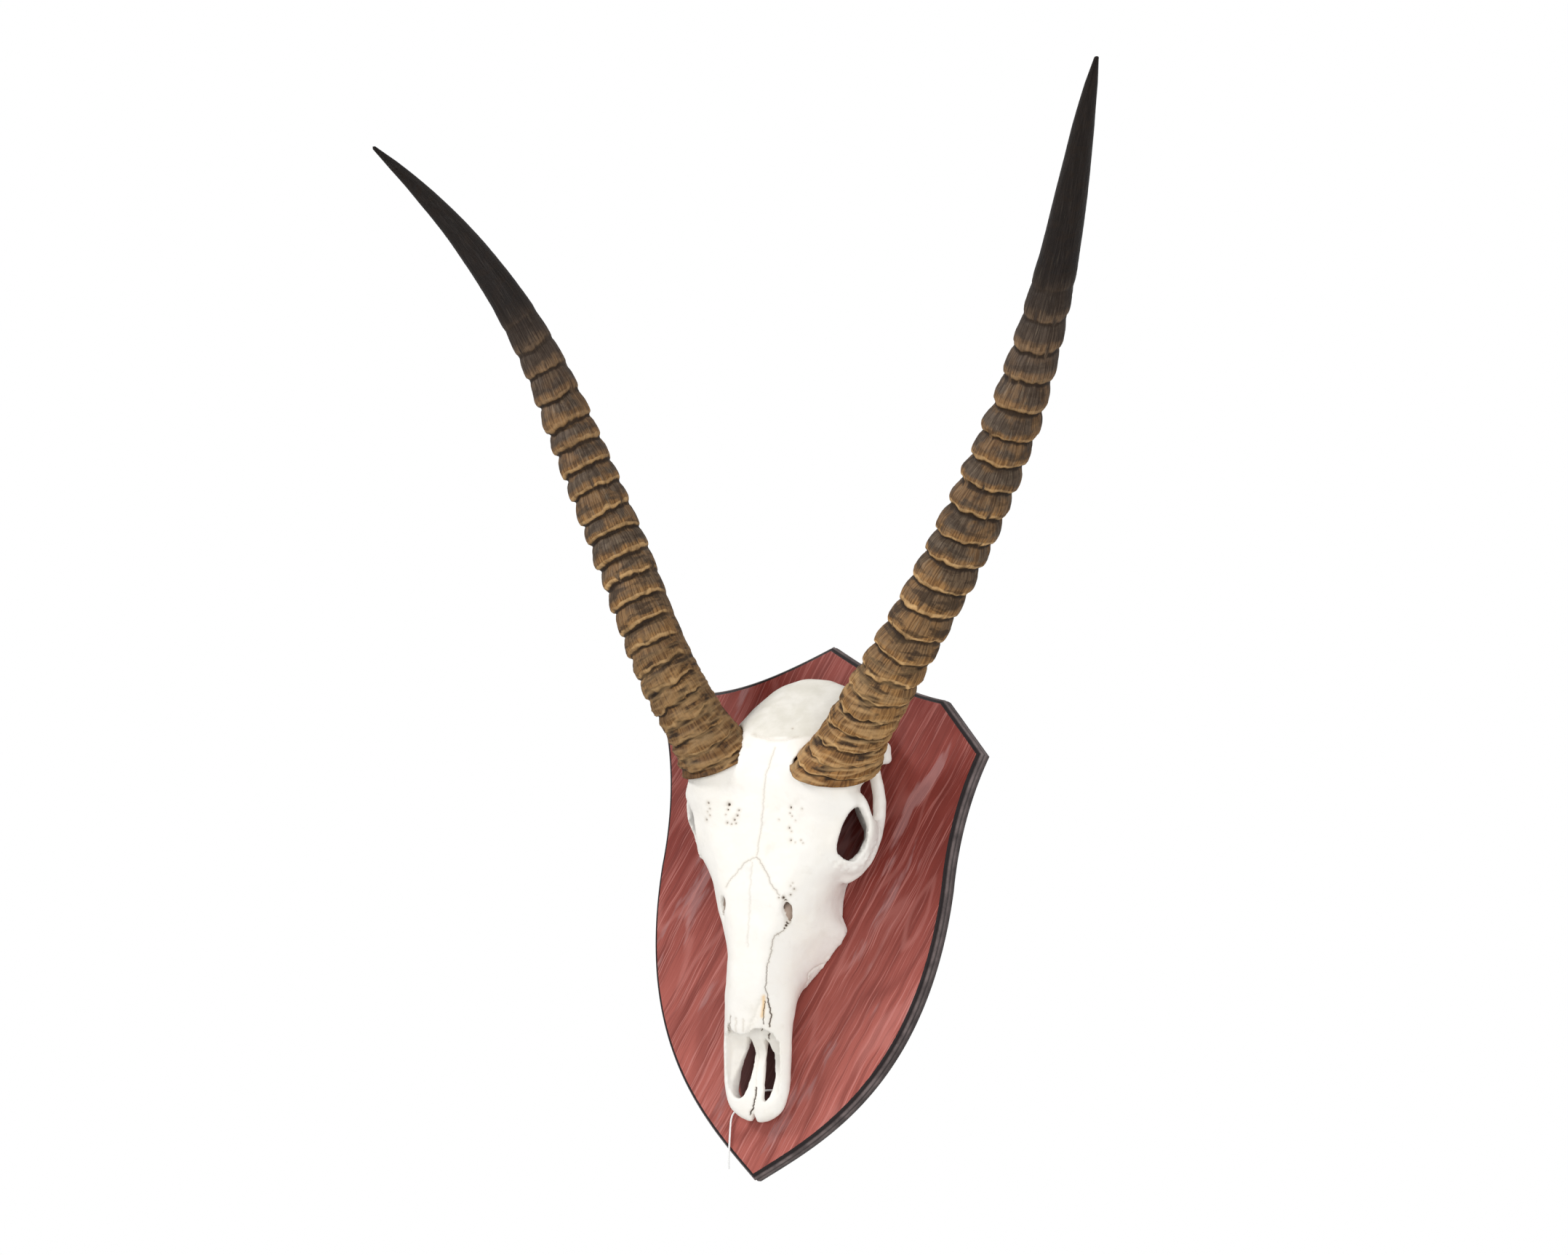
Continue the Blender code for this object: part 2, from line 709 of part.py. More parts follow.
def build_thread(material):
    """White tie thread: a thin cord from under the snout, down over the board's edge."""
    points = even_points([tuple(place_mm(p)) for p in THREAD_ROUTE], THREAD_STEP)
    curve = bpy.data.curves.new("tie_thread", "CURVE")
    curve.dimensions = "3D"
    curve.bevel_depth = THREAD_RADIUS
    curve.bevel_resolution = 2
    curve.use_fill_caps = True
    spline = curve.splines.new("POLY")
    spline.points.add(len(points) - 1)
    for knot, point in zip(spline.points, points):
        knot.co = (*point, 1.0)
    curve.materials.append(material)
    thread = bpy.data.objects.new("tie_thread", curve)
    bpy.context.scene.collection.objects.link(thread)
    return thread


def main():
    clear_scene()
    board = make_material("stained_wood", (0.30, 0.075, 0.060), 0.5)
    bone = make_material("bleached_bone", (0.86, 0.83, 0.76), 0.6)
    horn = make_material("horn", (0.16, 0.10, 0.05), 0.55)
    thread = make_material("white_thread", (0.85, 0.85, 0.83), 0.8)
    build_board(board)
    build_skull(bone)
    build_horn("horn_right", horn, 3, mirrored=False)
    build_horn("horn_left", horn, 8, mirrored=True)
    build_thread(thread)


if __name__ == "__main__":
    main()
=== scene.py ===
"""Ringed gazelle horns on their bleached skull, mounted on a stained shield-shaped board.

Metres, +Z up. The board's back is the plane Y = 0 and its front faces -Y. X runs across the board,
and the origin is the middle of the back, halfway up. Most places are given in millimetres as
(across, forward, height): to the side of the middle line, in front of the board's face, and above
the board's lower tip.
"""

import math

import bmesh
import bpy
from bpy.props import FloatProperty, FloatVectorProperty, IntProperty, PointerProperty
from mathutils import Matrix, Vector, noise
from mathutils.bvhtree import BVHTree
from mathutils.kdtree import KDTree


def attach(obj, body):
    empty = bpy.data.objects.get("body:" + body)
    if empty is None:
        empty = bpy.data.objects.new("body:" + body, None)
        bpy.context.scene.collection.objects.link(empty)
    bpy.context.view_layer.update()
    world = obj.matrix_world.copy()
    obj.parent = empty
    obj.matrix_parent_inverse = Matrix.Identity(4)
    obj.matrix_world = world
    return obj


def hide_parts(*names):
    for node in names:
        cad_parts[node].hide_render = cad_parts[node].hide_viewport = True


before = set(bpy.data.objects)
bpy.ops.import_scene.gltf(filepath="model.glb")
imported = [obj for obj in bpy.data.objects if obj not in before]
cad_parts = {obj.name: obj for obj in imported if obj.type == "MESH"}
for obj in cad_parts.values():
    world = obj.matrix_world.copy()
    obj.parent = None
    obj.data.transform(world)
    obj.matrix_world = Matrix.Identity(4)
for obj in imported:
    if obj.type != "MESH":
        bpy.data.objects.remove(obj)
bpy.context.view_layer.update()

bl_info = {
    "name": "Mounted gazelle horns",
    "version": (1, 0, 0),
    "blender": (4, 5, 0),
    "location": "View3D > Sidebar > Mount",
    "description": "Builds the board, skull, horns and thread of a wall mount, and a plain stage for it",
    "category": "Object",
}

MM = 0.001
FULL_TURN = 2 * math.pi
# Signs of the right and the left side
SIDES = (1, -1)
# Places read along a smooth path
PATH_SAMPLES = 600

# Board
BOARD_HEIGHT = 0.350
BOARD_THICKNESS = 0.012
ORIGIN_HEIGHT = BOARD_HEIGHT / 2
BOARD_WAIST = (0.1085, 0.195)
BOARD_WING = (0.1208, 0.2829)
BOARD_SHOULDER = (0.0891, 0.3160)
BOARD_APEX = (0.0, BOARD_HEIGHT)
# Smooth runs of the face's outline: start, two handles, end and number of points
BOARD_CURVES = (
    ((0.0, 0.0), (0.044, 0.0315), (0.1085, 0.0741), BOARD_WAIST, 60),
    (BOARD_WAIST, (0.1072, 0.225), (0.1110, 0.255), BOARD_WING, 26),
    (BOARD_SHOULDER, (0.060, 0.320), (0.030, 0.334), BOARD_APEX, 26),
)
SHOULDER_POINTS = 12
# Limit on how far a sharp corner of the outline is drawn out, and the angle from which an edge stays sharp
SHARPEST_CORNER = 0.35
SHARP_EDGE = math.radians(32)
# Routed edge, in millimetres: outwards from the face's outline, behind the face, its dark paint, and its
# painted highlight on the beads, where the paint is also rubbed pale
BOARD_PROFILE = (
    (-2.4, 0.0, 0.0, 0.0), (-1.5, 0.0, 0.35, 0.0), (-0.8, 0.05, 0.85, 0.0), (0.1, 0.40, 1.0, 0.0),
    (0.5, 1.0, 1.0, 0.0), (0.8, 1.7, 1.0, 0.3), (1.2, 2.2, 1.0, 1.0), (1.8, 2.8, 1.0, 1.0),
    (2.1, 3.5, 1.0, 0.8), (2.0, 4.2, 1.0, 0.2), (1.4, 4.6, 1.0, 0.0), (1.0, 5.1, 1.0, 0.0),
    (1.1, 5.6, 1.0, 0.1), (1.7, 6.0, 1.0, 0.6), (2.2, 6.5, 1.0, 1.0), (2.3, 8.0, 1.0, 0.6),
    (2.2, 11.3, 1.0, 0.3), (1.8, 11.8, 1.0, 0.0), (1.2, 12.0, 1.0, 0.0), (0.2, 12.0, 0.4, 0.0),
    (-1.5, 12.0, 0.0, 0.0),
)
HANGING_HOLE_RADIUS = 0.004
HANGING_HOLE_DEPTH = 0.008
HANGING_HOLE_HEIGHT = 0.300
GRAIN_ANGLE = math.radians(22.6)
# How far the grain bends, and how many growth rings the pattern's noise is folded into
GRAIN_BEND = 0.010
GROWTH_RINGS = 19.0
# Fibres of the wood, each as waves per metre across and along the grain, then where its mask starts and
# is full: pale ones, wide pale ones, dark ones and fine dark ones
WOOD_FIBRES = (
    (900.0, 15.0, 0.54, 0.64),
    (420.0, 8.0, 0.57, 0.64),
    (240.0, 6.0, 0.50, 0.60),
    (1500.0, 40.0, 0.52, 0.66),
)
# Painted shade on the board under the snout, in the dark edge colour: its middle across and in height, and
# its half sizes
PAINTED_SHADE_ACROSS = -0.004
PAINTED_SHADE_HEIGHT = 0.068
PAINTED_SHADE_HALF = (0.020, 0.032)

# Horns: name, solid that each stands for, side and number that sets its random relief
HORNS = (
    ("ringed_horn_right", "horn_right", 1.0, 3.0),
    ("ringed_horn_left", "horn_left", -1.0, 8.0),
)
# Axis of the horn on the +X side in millimetres, from base to tip
HORN_AXIS = (
    (44.5, 46.5, 261), (76, 62, 304), (100, 70, 343), (124, 77, 387), (147, 89, 431), (168, 103, 473),
    (187, 122, 515), (207, 149, 554), (228, 184, 588), (247, 218, 612), (265, 249, 630),
)
# Mean radius in millimetres at a share of the horn's length
HORN_RADIUS = (
    (0.00, 25.4), (0.03, 22.6), (0.06, 20.4), (0.12, 19.8), (0.22, 18.6), (0.32, 18.2), (0.42, 17.2),
    (0.51, 15.9), (0.61, 14.2), (0.71, 12.4), (0.80, 9.9), (0.90, 6.4), (0.96, 3.6), (0.995, 1.3),
)
HORN_LONG = 1.06
HORN_SHORT = 0.95
HORN_TURN = math.radians(-15)
RING_COUNT = 21
RING_FADE_FROM = 17
RING_FIRST = 0.0055
RING_CLOSE = 0.0127
RING_PITCH_BASE = 0.0100
RING_PITCH_TOP = 0.0172
RING_PITCH_REACH = 0.090
RING_PITCH_LAST = 0.0200
RING_LAST_FROM = 0.250
AXIS_STEP = 0.002
SEAT_FACING = (0.23, -0.585, 0.778)
SEAT_REACH = 0.080
SEAT_DEPTH = 0.012
SEAT_INSET = 0.0016
SEAT_TAPER = 0.0040
SEAT_EASE = 1.5
SEAT_SIDES = 64
# Room cut round each horn: how wide, and at which arc lengths
SEAT_CLEARANCE = 0.0012
GAP = 0.0003
SEAT_CLEAR_ARCS = (-GAP, 0.012, 0.026, 0.040)
TO_FRONT = (0.0, -1.0, 0.0)
# Radius of the round path on which the horn's noise is read
GRAIN_RADIUS = 0.018
# Height of a ring's profile from its lower edge up to the next ring
RING_PROFILE = (
    (0.0, 0.62), (0.04, 0.80), (0.12, 0.94), (0.22, 1.0), (0.36, 0.95), (0.54, 0.72), (0.74, 0.28),
    (0.86, 0.0), (0.94, 0.20), (1.0, 0.62),
)
# Strength of the rings round the horn, from the front by the inner side and the back
RINGS_AROUND = (
    (0.0, 1.0), (0.14, 0.95), (0.22, 0.36), (0.33, 0.10), (0.47, 0.12), (0.58, 0.50), (0.68, 0.85),
    (0.80, 1.0), (1.0, 1.0),
)

# Fibres of the horn, as for the wood: fine shade, broad shade and pale ones
HORN_FIBRES = ((1000.0, 60.0, 0.42, 0.60), (300.0, 34.0, 0.44, 0.62), (820.0, 75.0, 0.56, 0.68))
# Share of pale fibres along the horn
PALE_FIBRES = ((0.0, 0.12), (0.18, 0.25), (0.34, 0.42), (0.52, 0.36), (0.75, 0.08), (1.0, 0.05))

# Skull sections in millimetres: height, how far the middle line stands forward, then (across, forward)
# of the brow, of the side, and of the foot
SKULL_SECTIONS = (
    (33, 9.5, (3, 9.3), (5, 7.5), (4, 5.0)), (36, 11.0, (8, 11), (13, 8.5), (10, 4)),
    (41, 12.5, (13, 13), (19.5, 9.5), (15, 3.6)), (48, 13.5, (16, 15), (23, 11), (18.5, 3.6)),
    (60, 17, (18, 19), (24.6, 13), (19.5, 3.6)), (72, 25, (17.5, 23.5), (25, 16), (18.5, 3.6)),
    (84, 32.5, (16, 29.5), (25, 18.5), (16.5, 3.6)), (96, 36.5, (14.5, 34.5), (25, 21), (15, 3.6)),
    (110, 40.5, (14, 38.5), (25.5, 23.5), (15, 3.4)), (122, 43.5, (14, 41.5), (26, 24), (20, 2)),
    (134, 45.5, (14, 43.5), (26.5, 26), (29.5, 0)), (143, 46.8, (15, 45), (28, 28), (34.5, 0)),
    (151, 47.8, (17, 46.5), (31.5, 29), (40.5, 0)), (159, 48.8, (19, 47.5), (35, 30), (45.5, 0)),
    (164, 49.5, (21, 48.5), (37, 31), (45, 0)), (170, 50.5, (23, 49.5), (38.5, 32), (40.5, 0)),
    (180, 52, (26, 51), (41.5, 33), (38.5, 0)), (192, 53.3, (31, 52), (48, 35), (39.5, 0)),
    (203, 54, (36, 53.5), (59.5, 31), (44, 0)), (213, 54.5, (40, 54.5), (66, 31), (48, 0)),
    (225, 56, (43, 57), (70.5, 33.5), (50, 0)), (235, 57.5, (44, 61.5), (68, 41), (42, 0)),
    (245, 58.5, (43, 65.5), (63, 45), (38, 0)), (254, 58.5, (37, 64), (58, 44), (37, 0)),
    (262, 58, (31, 60), (54, 41), (39, 0)), (270, 57, (29, 54), (51, 36), (43, 0)),
    (278, 54, (28, 49.5), (50, 30), (47.5, 0)), (288, 47, (29, 44), (50, 22), (50, 0)),
    (300, 38, (25, 35), (43.5, 19), (44, 0)), (312, 28, (20, 25.5), (34, 16.5), (34, 0)),
    (321, 19, (13, 18), (23, 13.5), (23, 0)), (326, 14, (5, 13.6), (9, 12), (9, 0)),
)
SECTION_STEP = 0.002
SECTION_POINTS = 24
BONE_WALL = 0.0045
HOLLOW_STEP = 0.006
HOLLOW_POINTS = 12
HOLLOW_ENDS = (0.118, 0.316)
SOCKET_RIM_PATH = (
    (63.5, 43.5, 243), (67.5, 38, 234), (68, 32, 223), (64, 29, 213), (60.5, 26.5, 204.5),
    (55.5, 30, 199.5), (50, 41, 202.5), (51.5, 46.5, 214), (54.5, 48.5, 228), (58.5, 47, 239),
)
SOCKET_EDGE = (
    (64, 43.5, 236), (65, 37, 230), (63, 31.5, 221), (60, 28.5, 212), (57.5, 32, 204), (53, 42, 206),
    (54, 46, 216), (58, 46.5, 228),
)
SOCKET_FACING = (0.73, 0.68)
SOCKET_RIM = 0.0030
SOCKET_RAGGED = 0.0013
SOCKET_RAGGED_WAVES = 420.0
SOCKET_RAGGED_FROM = 0.0025
SOCKET_RAGGED_REACH = 0.024
# Direction across and upwards in which the bowl drifts
SOCKET_DRIFT = (-0.86, -0.5)
# Depth of each ring of the bowl, its size, and how far it has drifted towards the nose
SOCKET_BOWL = ((-7, 1.30, 0.0), (0, 1.0, 0.0), (6, 0.86, 2.5), (16, 0.80, 5.0))
LOOP_STEPS = 6
CHEEK_ARCH = (
    (46, 20, 192), (55, 18, 200), (61, 17, 209), (63.5, 16, 222), (63.5, 15, 236), (61, 14, 248),
    (57, 13, 258), (52, 12, 268), (46, 12, 278),
)
CHEEK_RADIUS = 0.0046
# Bone that fills the groove between the socket's rim and the cheek arch
CHEEK_WEB = (
    ((50, 41, 202.5), (46, 20, 192)), ((55.5, 30, 199.5), (52, 18, 197)),
    ((60.5, 26.5, 204.5), (57.5, 18, 203)), ((64, 29, 213), (61.5, 17, 210)),
    ((68, 32, 223), (63.5, 16, 222)), ((67.5, 36, 231), (63.5, 15, 233)),
)
CHEEK_WEB_STEPS = (0.25, 0.5, 0.75)
CHEEK_WEB_RADIUS = 0.0036
EAR_KNOBS = (((57, 11, 281), 6.0), ((59, 9, 275), 4.5))
SLOT_DEPTHS = (0.004, 0.027)
# Slots through the roof of the mouth, the right one and the wider left one
SLOT_OUTLINES = (
    (
        (4.5, 91), (8, 85), (11.2, 73), (12.8, 63), (12.4, 55), (10.6, 49), (8.4, 46), (6.8, 48.5), (5.2, 58),
        (4.2, 70),
    ),
    (
        (-4.2, 70), (-5.5, 58), (-8, 48.5), (-11.5, 46), (-16, 49), (-18, 55), (-17, 63), (-13.2, 73),
        (-8.5, 85), (-4.5, 91),
    ),
)
NOSE_HOLLOW = (
    (44, 11, 16, 40), (52, 18.5, 13, 44), (64, 20, 12.5, 50), (78, 20, 13, 50), (84, 20, 19, 50),
    (86, 18, 22, 30.5), (96, 17, 27, 33.5), (112, 15, 30, 36),
)
# End of the nose bones, broken off unevenly
NOSE_EDGE = (
    (19.5, 83), (18, 87), (15.5, 90), (11, 91.5), (6.5, 91), (4.0, 90), (1.1, 87.2), (-2.0, 86.4),
    (-5.2, 85.6), (-9.4, 86.6), (-13.3, 88.5), (-14.7, 93.1), (-16.6, 89.9), (-18.5, 83),
)
NOSE_EDGE_DEPTHS = (0.022, 0.050)
SNOUT_SLIT = ((2.1, 30), (1.2, 37), (0.8, 43))
SNOUT_SLIT_DEPTHS = (-0.004, 0.020)
PALATE_HOLLOW = (
    (42, 9, -2, 8), (50, 16.5, -2, 9), (66, 19, -2, 9.5), (90, 16, -2, 11), (119, 14, -2, 12),
)
# Ragged opening between the nose, brow and cheek bones, and the scrolled bone seen inside it
FISSURE_OUTLINE = (
    (24, 175.7), (25.4, 175.2), (24.6, 171.7), (26.2, 170.4), (26.9, 167.2), (26.8, 163.8), (25.6, 160.2),
    (24.2, 156.9), (22.4, 153.6), (22.0, 156.9), (22.8, 161.4), (21.3, 164.7), (21.0, 168.2), (22.4, 171.0),
)
FISSURE_DEPTHS = (0.026, 0.060)
SCROLL_BONE = (21, 36.5, 170)
SCROLL_BONE_HALF = (0.0085, 0.0065, 0.0100)
SCROLL_MARGIN = 1.2

# Uneven bone: waves per metre and height in millimetres
BONE_WAVES = ((70.0, 0.55), (190.0, 0.20))
# Ragged edge by the teeth, as above, with how far forward and between which heights it runs
RAGGED_FOOT_WAVE = (260.0, 1.1)
RAGGED_FOOT_FORWARD = 9.0
RAGGED_FOOT_HEIGHTS = (112.0, 172.0)
# Bone that lies this close to the board stays flat
FLAT_FORWARD = 0.6
# Painted shade on the vault, where it slopes away behind the horns: half width of its level edge, how steeply
# the edge falls beside it, and where it fades in
VAULT_FLAT_HALF = 0.014
VAULT_FALL = 0.30
VAULT_LINE = (0.1005, 0.1035)

# Seams between the bones, as pixels of the photograph: width and depth in millimetres, darkness, tan stain
SEAMS = (
    (
        ((1066, 1028), (1060, 1045), (1053, 1064), (1050, 1100), (1047, 1135), (1040, 1176)),
        0.42, 0.30, 0.34, 0.60,
    ),
    (((1040, 1178), (1034, 1181), (1023, 1187), (1010, 1202), (998, 1220)), 0.42, 0.35, 0.34, 0.65),
    (((1040, 1178), (1044, 1182), (1053, 1198), (1061, 1216), (1072, 1231)), 0.44, 0.40, 0.42, 0.75),
    (((1034, 1186), (1031, 1240), (1028, 1300)), 0.34, 0.25, 0.26, 0.45),
    (((1079, 1278), (1070, 1283), (1064, 1287), (1060, 1310), (1055, 1328)), 0.42, 0.40, 0.50, 0.7),
    (((1055, 1328), (1053, 1344), (1053, 1358), (1055, 1372)), 0.45, 0.60, 0.60, 0.4),
    (
        ((1055, 1372), (1059, 1388), (1061, 1399), (1058, 1410), (1056, 1422), (1057, 1429)),
        0.50, 1.10, 0.85, 0.4,
    ),
    (((1052, 1376), (1050, 1388), (1049, 1397), (1050, 1406), (1047, 1418)), 0.38, 0.60, 0.80, 0.3),
    (((1028, 1421), (1033, 1409), (1040, 1392), (1046, 1376)), 1.3, 0.70, 0.0, 0.22),
    (((1017, 1005), (1040, 1012), (1063, 1018), (1080, 1017), (1099, 1013)), 0.60, 0.35, 0.14, 0.5),
    (((978, 1268), (977, 1290), (981, 1320), (985, 1350)), 0.40, 0.35, 0.30, 0.4),
    (((1004, 1396), (1003, 1408), (1004, 1418)), 0.50, 0.60, 0.50, 0.6),
    (((1012, 1400), (1012, 1419)), 0.40, 0.40, 0.15, 0.7),
    (((1022, 1402), (1022, 1418)), 0.40, 0.35, 0.10, 0.7),
    (((1109, 1352), (1112, 1338), (1120, 1331), (1132, 1325)), 0.9, 0.5, 0.05, 0.3),
    (((1039, 1494), (1038, 1508), (1035, 1522), (1032, 1533)), 0.55, 1.60, 0.95, 0.3),
    (((1041, 1440), (1041, 1470), (1039, 1494)), 0.35, 0.40, 0.20, 0.2),
)
# Blood-vessel holes and broken spots, as pixels of the photograph: radius and depth in millimetres, darkness
PITS = (
    ((1002, 1106), 1.0, 2.2, 1.0), ((1001, 1113), 0.6, 0.9, 0.8), ((974, 1104), 0.8, 1.0, 0.7),
    ((976, 1112), 0.6, 0.8, 0.5), ((976, 1121), 0.6, 0.8, 0.5), ((971, 1127), 0.8, 0.9, 0.6),
    ((973, 1116), 0.5, 0.6, 0.4), ((998, 1120), 0.5, 0.6, 0.4), ((1016, 1114), 0.7, 0.9, 0.6),
    ((1014, 1121), 0.8, 1.0, 0.7), ((1010, 1127), 0.8, 1.0, 0.7), ((1012, 1132), 0.6, 0.8, 0.6),
    ((1006, 1133), 0.6, 0.7, 0.5), ((1000, 1131), 0.7, 0.8, 0.6), ((1087, 1110), 0.8, 1.2, 0.8),
    ((1086, 1118), 0.5, 0.8, 0.6), ((1089, 1122), 0.5, 0.7, 0.5), ((1085, 1138), 0.7, 1.0, 0.7),
    ((1088, 1143), 0.5, 0.6, 0.4), ((1087, 1155), 0.7, 0.9, 0.6), ((1101, 1155), 0.5, 0.6, 0.5),
    ((1093, 1158), 0.4, 0.5, 0.4), ((1104, 1159), 0.4, 0.5, 0.4), ((1090, 1001), 0.6, 0.6, 0.5),
    ((1103, 1112), 0.5, 0.5, 0.4), ((1071, 1127), 0.5, 0.5, 0.3), ((1094, 1128), 0.4, 0.4, 0.3),
    ((1092, 1222), 0.7, 0.8, 0.6), ((1087, 1218), 0.5, 0.5, 0.4), ((1090, 1214), 0.4, 0.4, 0.4),
    ((1071, 1234), 0.6, 0.8, 0.6), ((1113, 1342), 0.4, 0.4, 0.7), ((1070, 1284), 0.6, 0.7, 0.6),
    ((1077, 1234), 1.0, 1.6, 0.9), ((1080, 1238), 0.9, 1.4, 0.8), ((1087, 1230), 0.6, 0.8, 0.7),
    ((1083, 1268), 1.0, 1.6, 1.0), ((1081, 1272), 0.8, 1.4, 1.0), ((1079, 1276), 0.7, 1.2, 0.9),
)
# Yellow spot beside the nose bones: its line as pixels, and its radius in millimetres
YELLOW_LINE = ((1050, 1370), (1050, 1380), (1049, 1390), (1048, 1397))
YELLOW_RADIUS = 1.3
SEAM_SAMPLE = 0.00025
SEAM_JITTER = 0.0006
SEAM_SEED = 7
SEAM_WAVES = (900.0, 250.0)
# How far from the seams the mesh is made finer, once and once more
SEAM_FINE_REACHES = (0.0024, 0.0014)
STAIN_SPREAD = 2.4
PIT_STAIN = 0.9

# Thread: its route in millimetres, from under the snout to its free end
THREAD_STEP = 0.0018
THREAD_ROUTE = (
    (15, 1.8, 56.5), (10, 1.8, 55.8), (6, 1.8, 55.2), (1, 1.8, 54.4), (-4, 1.8, 51.5), (-9, 1.8, 47.6),
    (-14, 1.8, 43.5), (-18, 1.9, 40), (-20.6, 2, 36.5), (-21.3, 2, 33), (-21.2, 1.9, 29), (-20.9, 1.7, 25),
    (-20.6, 1.5, 21), (-20.2, 1.3, 17), (-19.9, 1.1, 13), (-19.7, 0.6, 9), (-19.6, -0.4, 5),
    (-19.6, -1.6, 2),
)

# Camera: where it stands round the mount, and the photograph's frame
PHOTO_SIZE = (2156, 1725)
CAMERA_AZIMUTH = math.radians(32.54)
CAMERA_ELEVATION = math.radians(-12.42)
CAMERA_ROLL = math.radians(8.73)
CAMERA_DISTANCE = 1.599
CAMERA_AIM = (-0.0399, -0.012, 0.1895)
CAMERA_FOCUS_PIXELS = 3208.0
SENSOR_WIDTH = 36.0

# Stage: each light's setting, place, aim and size
FLOOR_HALF = 3.0
LIGHTS = (
    ("main_light", (-1.5, -1.5, 1.2), (0.0, 0.0, 0.1), 0.55),
    ("side_light", (1.5, -1.3, 0.2), (0.0, 0.0, 0.1), 1.4),
    ("low_light", (-0.2, -1.8, -0.35), (0.0, 0.0, 0.0), 1.2),
    ("top_light", (0.2, -0.4, 1.9), (0.0, -0.1, 0.2), 1.2),
)

# Shapes

def place_mm(point):
    """World point for (across, forward, height) in millimetres."""
    across, forward, height = (value * MM for value in point)
    return Vector((across, -(BOARD_THICKNESS + forward), height - ORIGIN_HEIGHT))


def new_object(name, data):
    """Object in the scene that holds a mesh, curve, camera or light."""
    thing = bpy.data.objects.new(name, data)
    bpy.context.scene.collection.objects.link(thing)
    return thing


def link_mesh(name, bm, recalc=True):
    """Turn a bmesh into an object whose faces point outwards."""
    if recalc:
        bmesh.ops.recalc_face_normals(bm, faces=bm.faces)
    mesh = bpy.data.meshes.new(name)
    bm.to_mesh(mesh)
    bm.free()
    return new_object(name, mesh)


def settle(thing, name):
    """Replace an object by the plain mesh that its modifiers make."""
    graph = bpy.context.evaluated_depsgraph_get()
    mesh = bpy.data.meshes.new_from_object(thing.evaluated_get(graph), depsgraph=graph)
    helpers = [modifier.object for modifier in thing.modifiers if modifier.type == "BOOLEAN"]
    for old in helpers + [thing]:
        bpy.data.objects.remove(old, do_unlink=True)
    mesh.name = name
    return new_object(name, mesh)


def set_finish(thing, material):
    """Give an object its one material."""
    thing.data.materials.clear()
    thing.data.materials.append(material)


def bezier(start, handle_a, handle_b, end, count):
    """Points of one cubic curve, without its last one."""
    points = []
    for index in range(count):
        t = index / count
        weights = ((1 - t) ** 3, 3 * (1 - t) ** 2 * t, 3 * (1 - t) * t * t, t ** 3)
        corners = (start, handle_a, handle_b, end)
        points.append(tuple(sum(w * c[axis] for w, c in zip(weights, corners)) for axis in (0, 1)))
    return points


def through(values, share):
    """Smooth curve through evenly numbered values, read at a share from 0 to 1."""
    last = len(values) - 1
    position = min(max(share, 0.0), 1.0) * last
    index = min(int(position), last - 1)
    t = position - index
    near = (values[max(index - 1, 0)], values[index], values[index + 1], values[min(index + 2, last)])
    return tuple(
        0.5 * (2 * h + (a - b) * t + (2 * b - 5 * h + 4 * a - c) * t * t + (3 * h - b - 3 * a + c) * t ** 3)
        for b, h, a, c in zip(*near)
    )


def lookup(pairs, value):
    """Value between the two nearest rows of a table of (position, value)."""
    for (low, low_value), (high, high_value) in zip(pairs, pairs[1:]):
        if value <= high:
            share = max(0.0, (value - low) / (high - low))
            return low_value + (high_value - low_value) * share
    return pairs[-1][1]


def path_length(points):
    """Length of a line of points."""
    return sum((after - before).length for before, after in zip(points, points[1:]))


def even_path(places, step, sign=1):
    """Points a step apart along a smooth curve through places in millimetres, on the sign's side."""
    corners = [tuple(place_mm((sign * x, f, z))) for x, f, z in places]
    fine = [Vector(through(corners, index / PATH_SAMPLES)) for index in range(PATH_SAMPLES + 1)]
    lengths = [0.0]
    for before, after in zip(fine, fine[1:]):
        lengths.append(lengths[-1] + (after - before).length)
    count = max(2, round(lengths[-1] / step))
    picked = []
    cursor = 0
    for index in range(count + 1):
        target = lengths[-1] * index / count
        while cursor < len(lengths) - 2 and lengths[cursor + 1] < target:
            cursor += 1
        span = lengths[cursor + 1] - lengths[cursor]
        picked.append(fine[cursor].lerp(fine[cursor + 1], (target - lengths[cursor]) / span if span else 0.0))
    return picked


def skin_rings(bm, rings, closed=False):
    """Join rings of equal length with faces, and close the two ends unless they join up."""
    made = [[bm.verts.new(point) for point in ring] for ring in rings]
    pairs = list(zip(made, made[1:]))
    if closed:
        pairs.append((made[-1], made[0]))
    for low, high in pairs:
        for index in range(len(low)):
            following = (index + 1) % len(low)
            bm.faces.new((low[index], low[following], high[following], high[index]))
    if not closed:
        bm.faces.new(list(reversed(made[0])))
        bm.faces.new(made[-1])
    return made


def tube(bm, points, radius, sides, closed=False):
    """Round tube along a path."""
    rings = []
    count = len(points)
    angles = [FULL_TURN * turn / sides for turn in range(sides)]
    for index, point in enumerate(points):
        if closed:
            heading = points[(index + 1) % count] - points[index - 1]
        else:
            heading = points[min(index + 1, count - 1)] - points[max(index - 1, 0)]
        heading.normalize()
        side = heading.cross(Vector((0.0, 1.0, 0.0)))
        side.normalize()
        other = heading.cross(side)
        rings.append([point + (side * math.cos(a) + other * math.sin(a)) * radius for a in angles])
    skin_rings(bm, rings, closed)


def ball(bm, centre, half_sizes):
    """Ellipsoid with given half sizes along X, Y and Z."""
    matrix = Matrix.Translation(centre) @ Matrix.Diagonal((*half_sizes, 1.0))
    bmesh.ops.create_uvsphere(bm, u_segments=24, v_segments=16, radius=1.0, matrix=matrix)


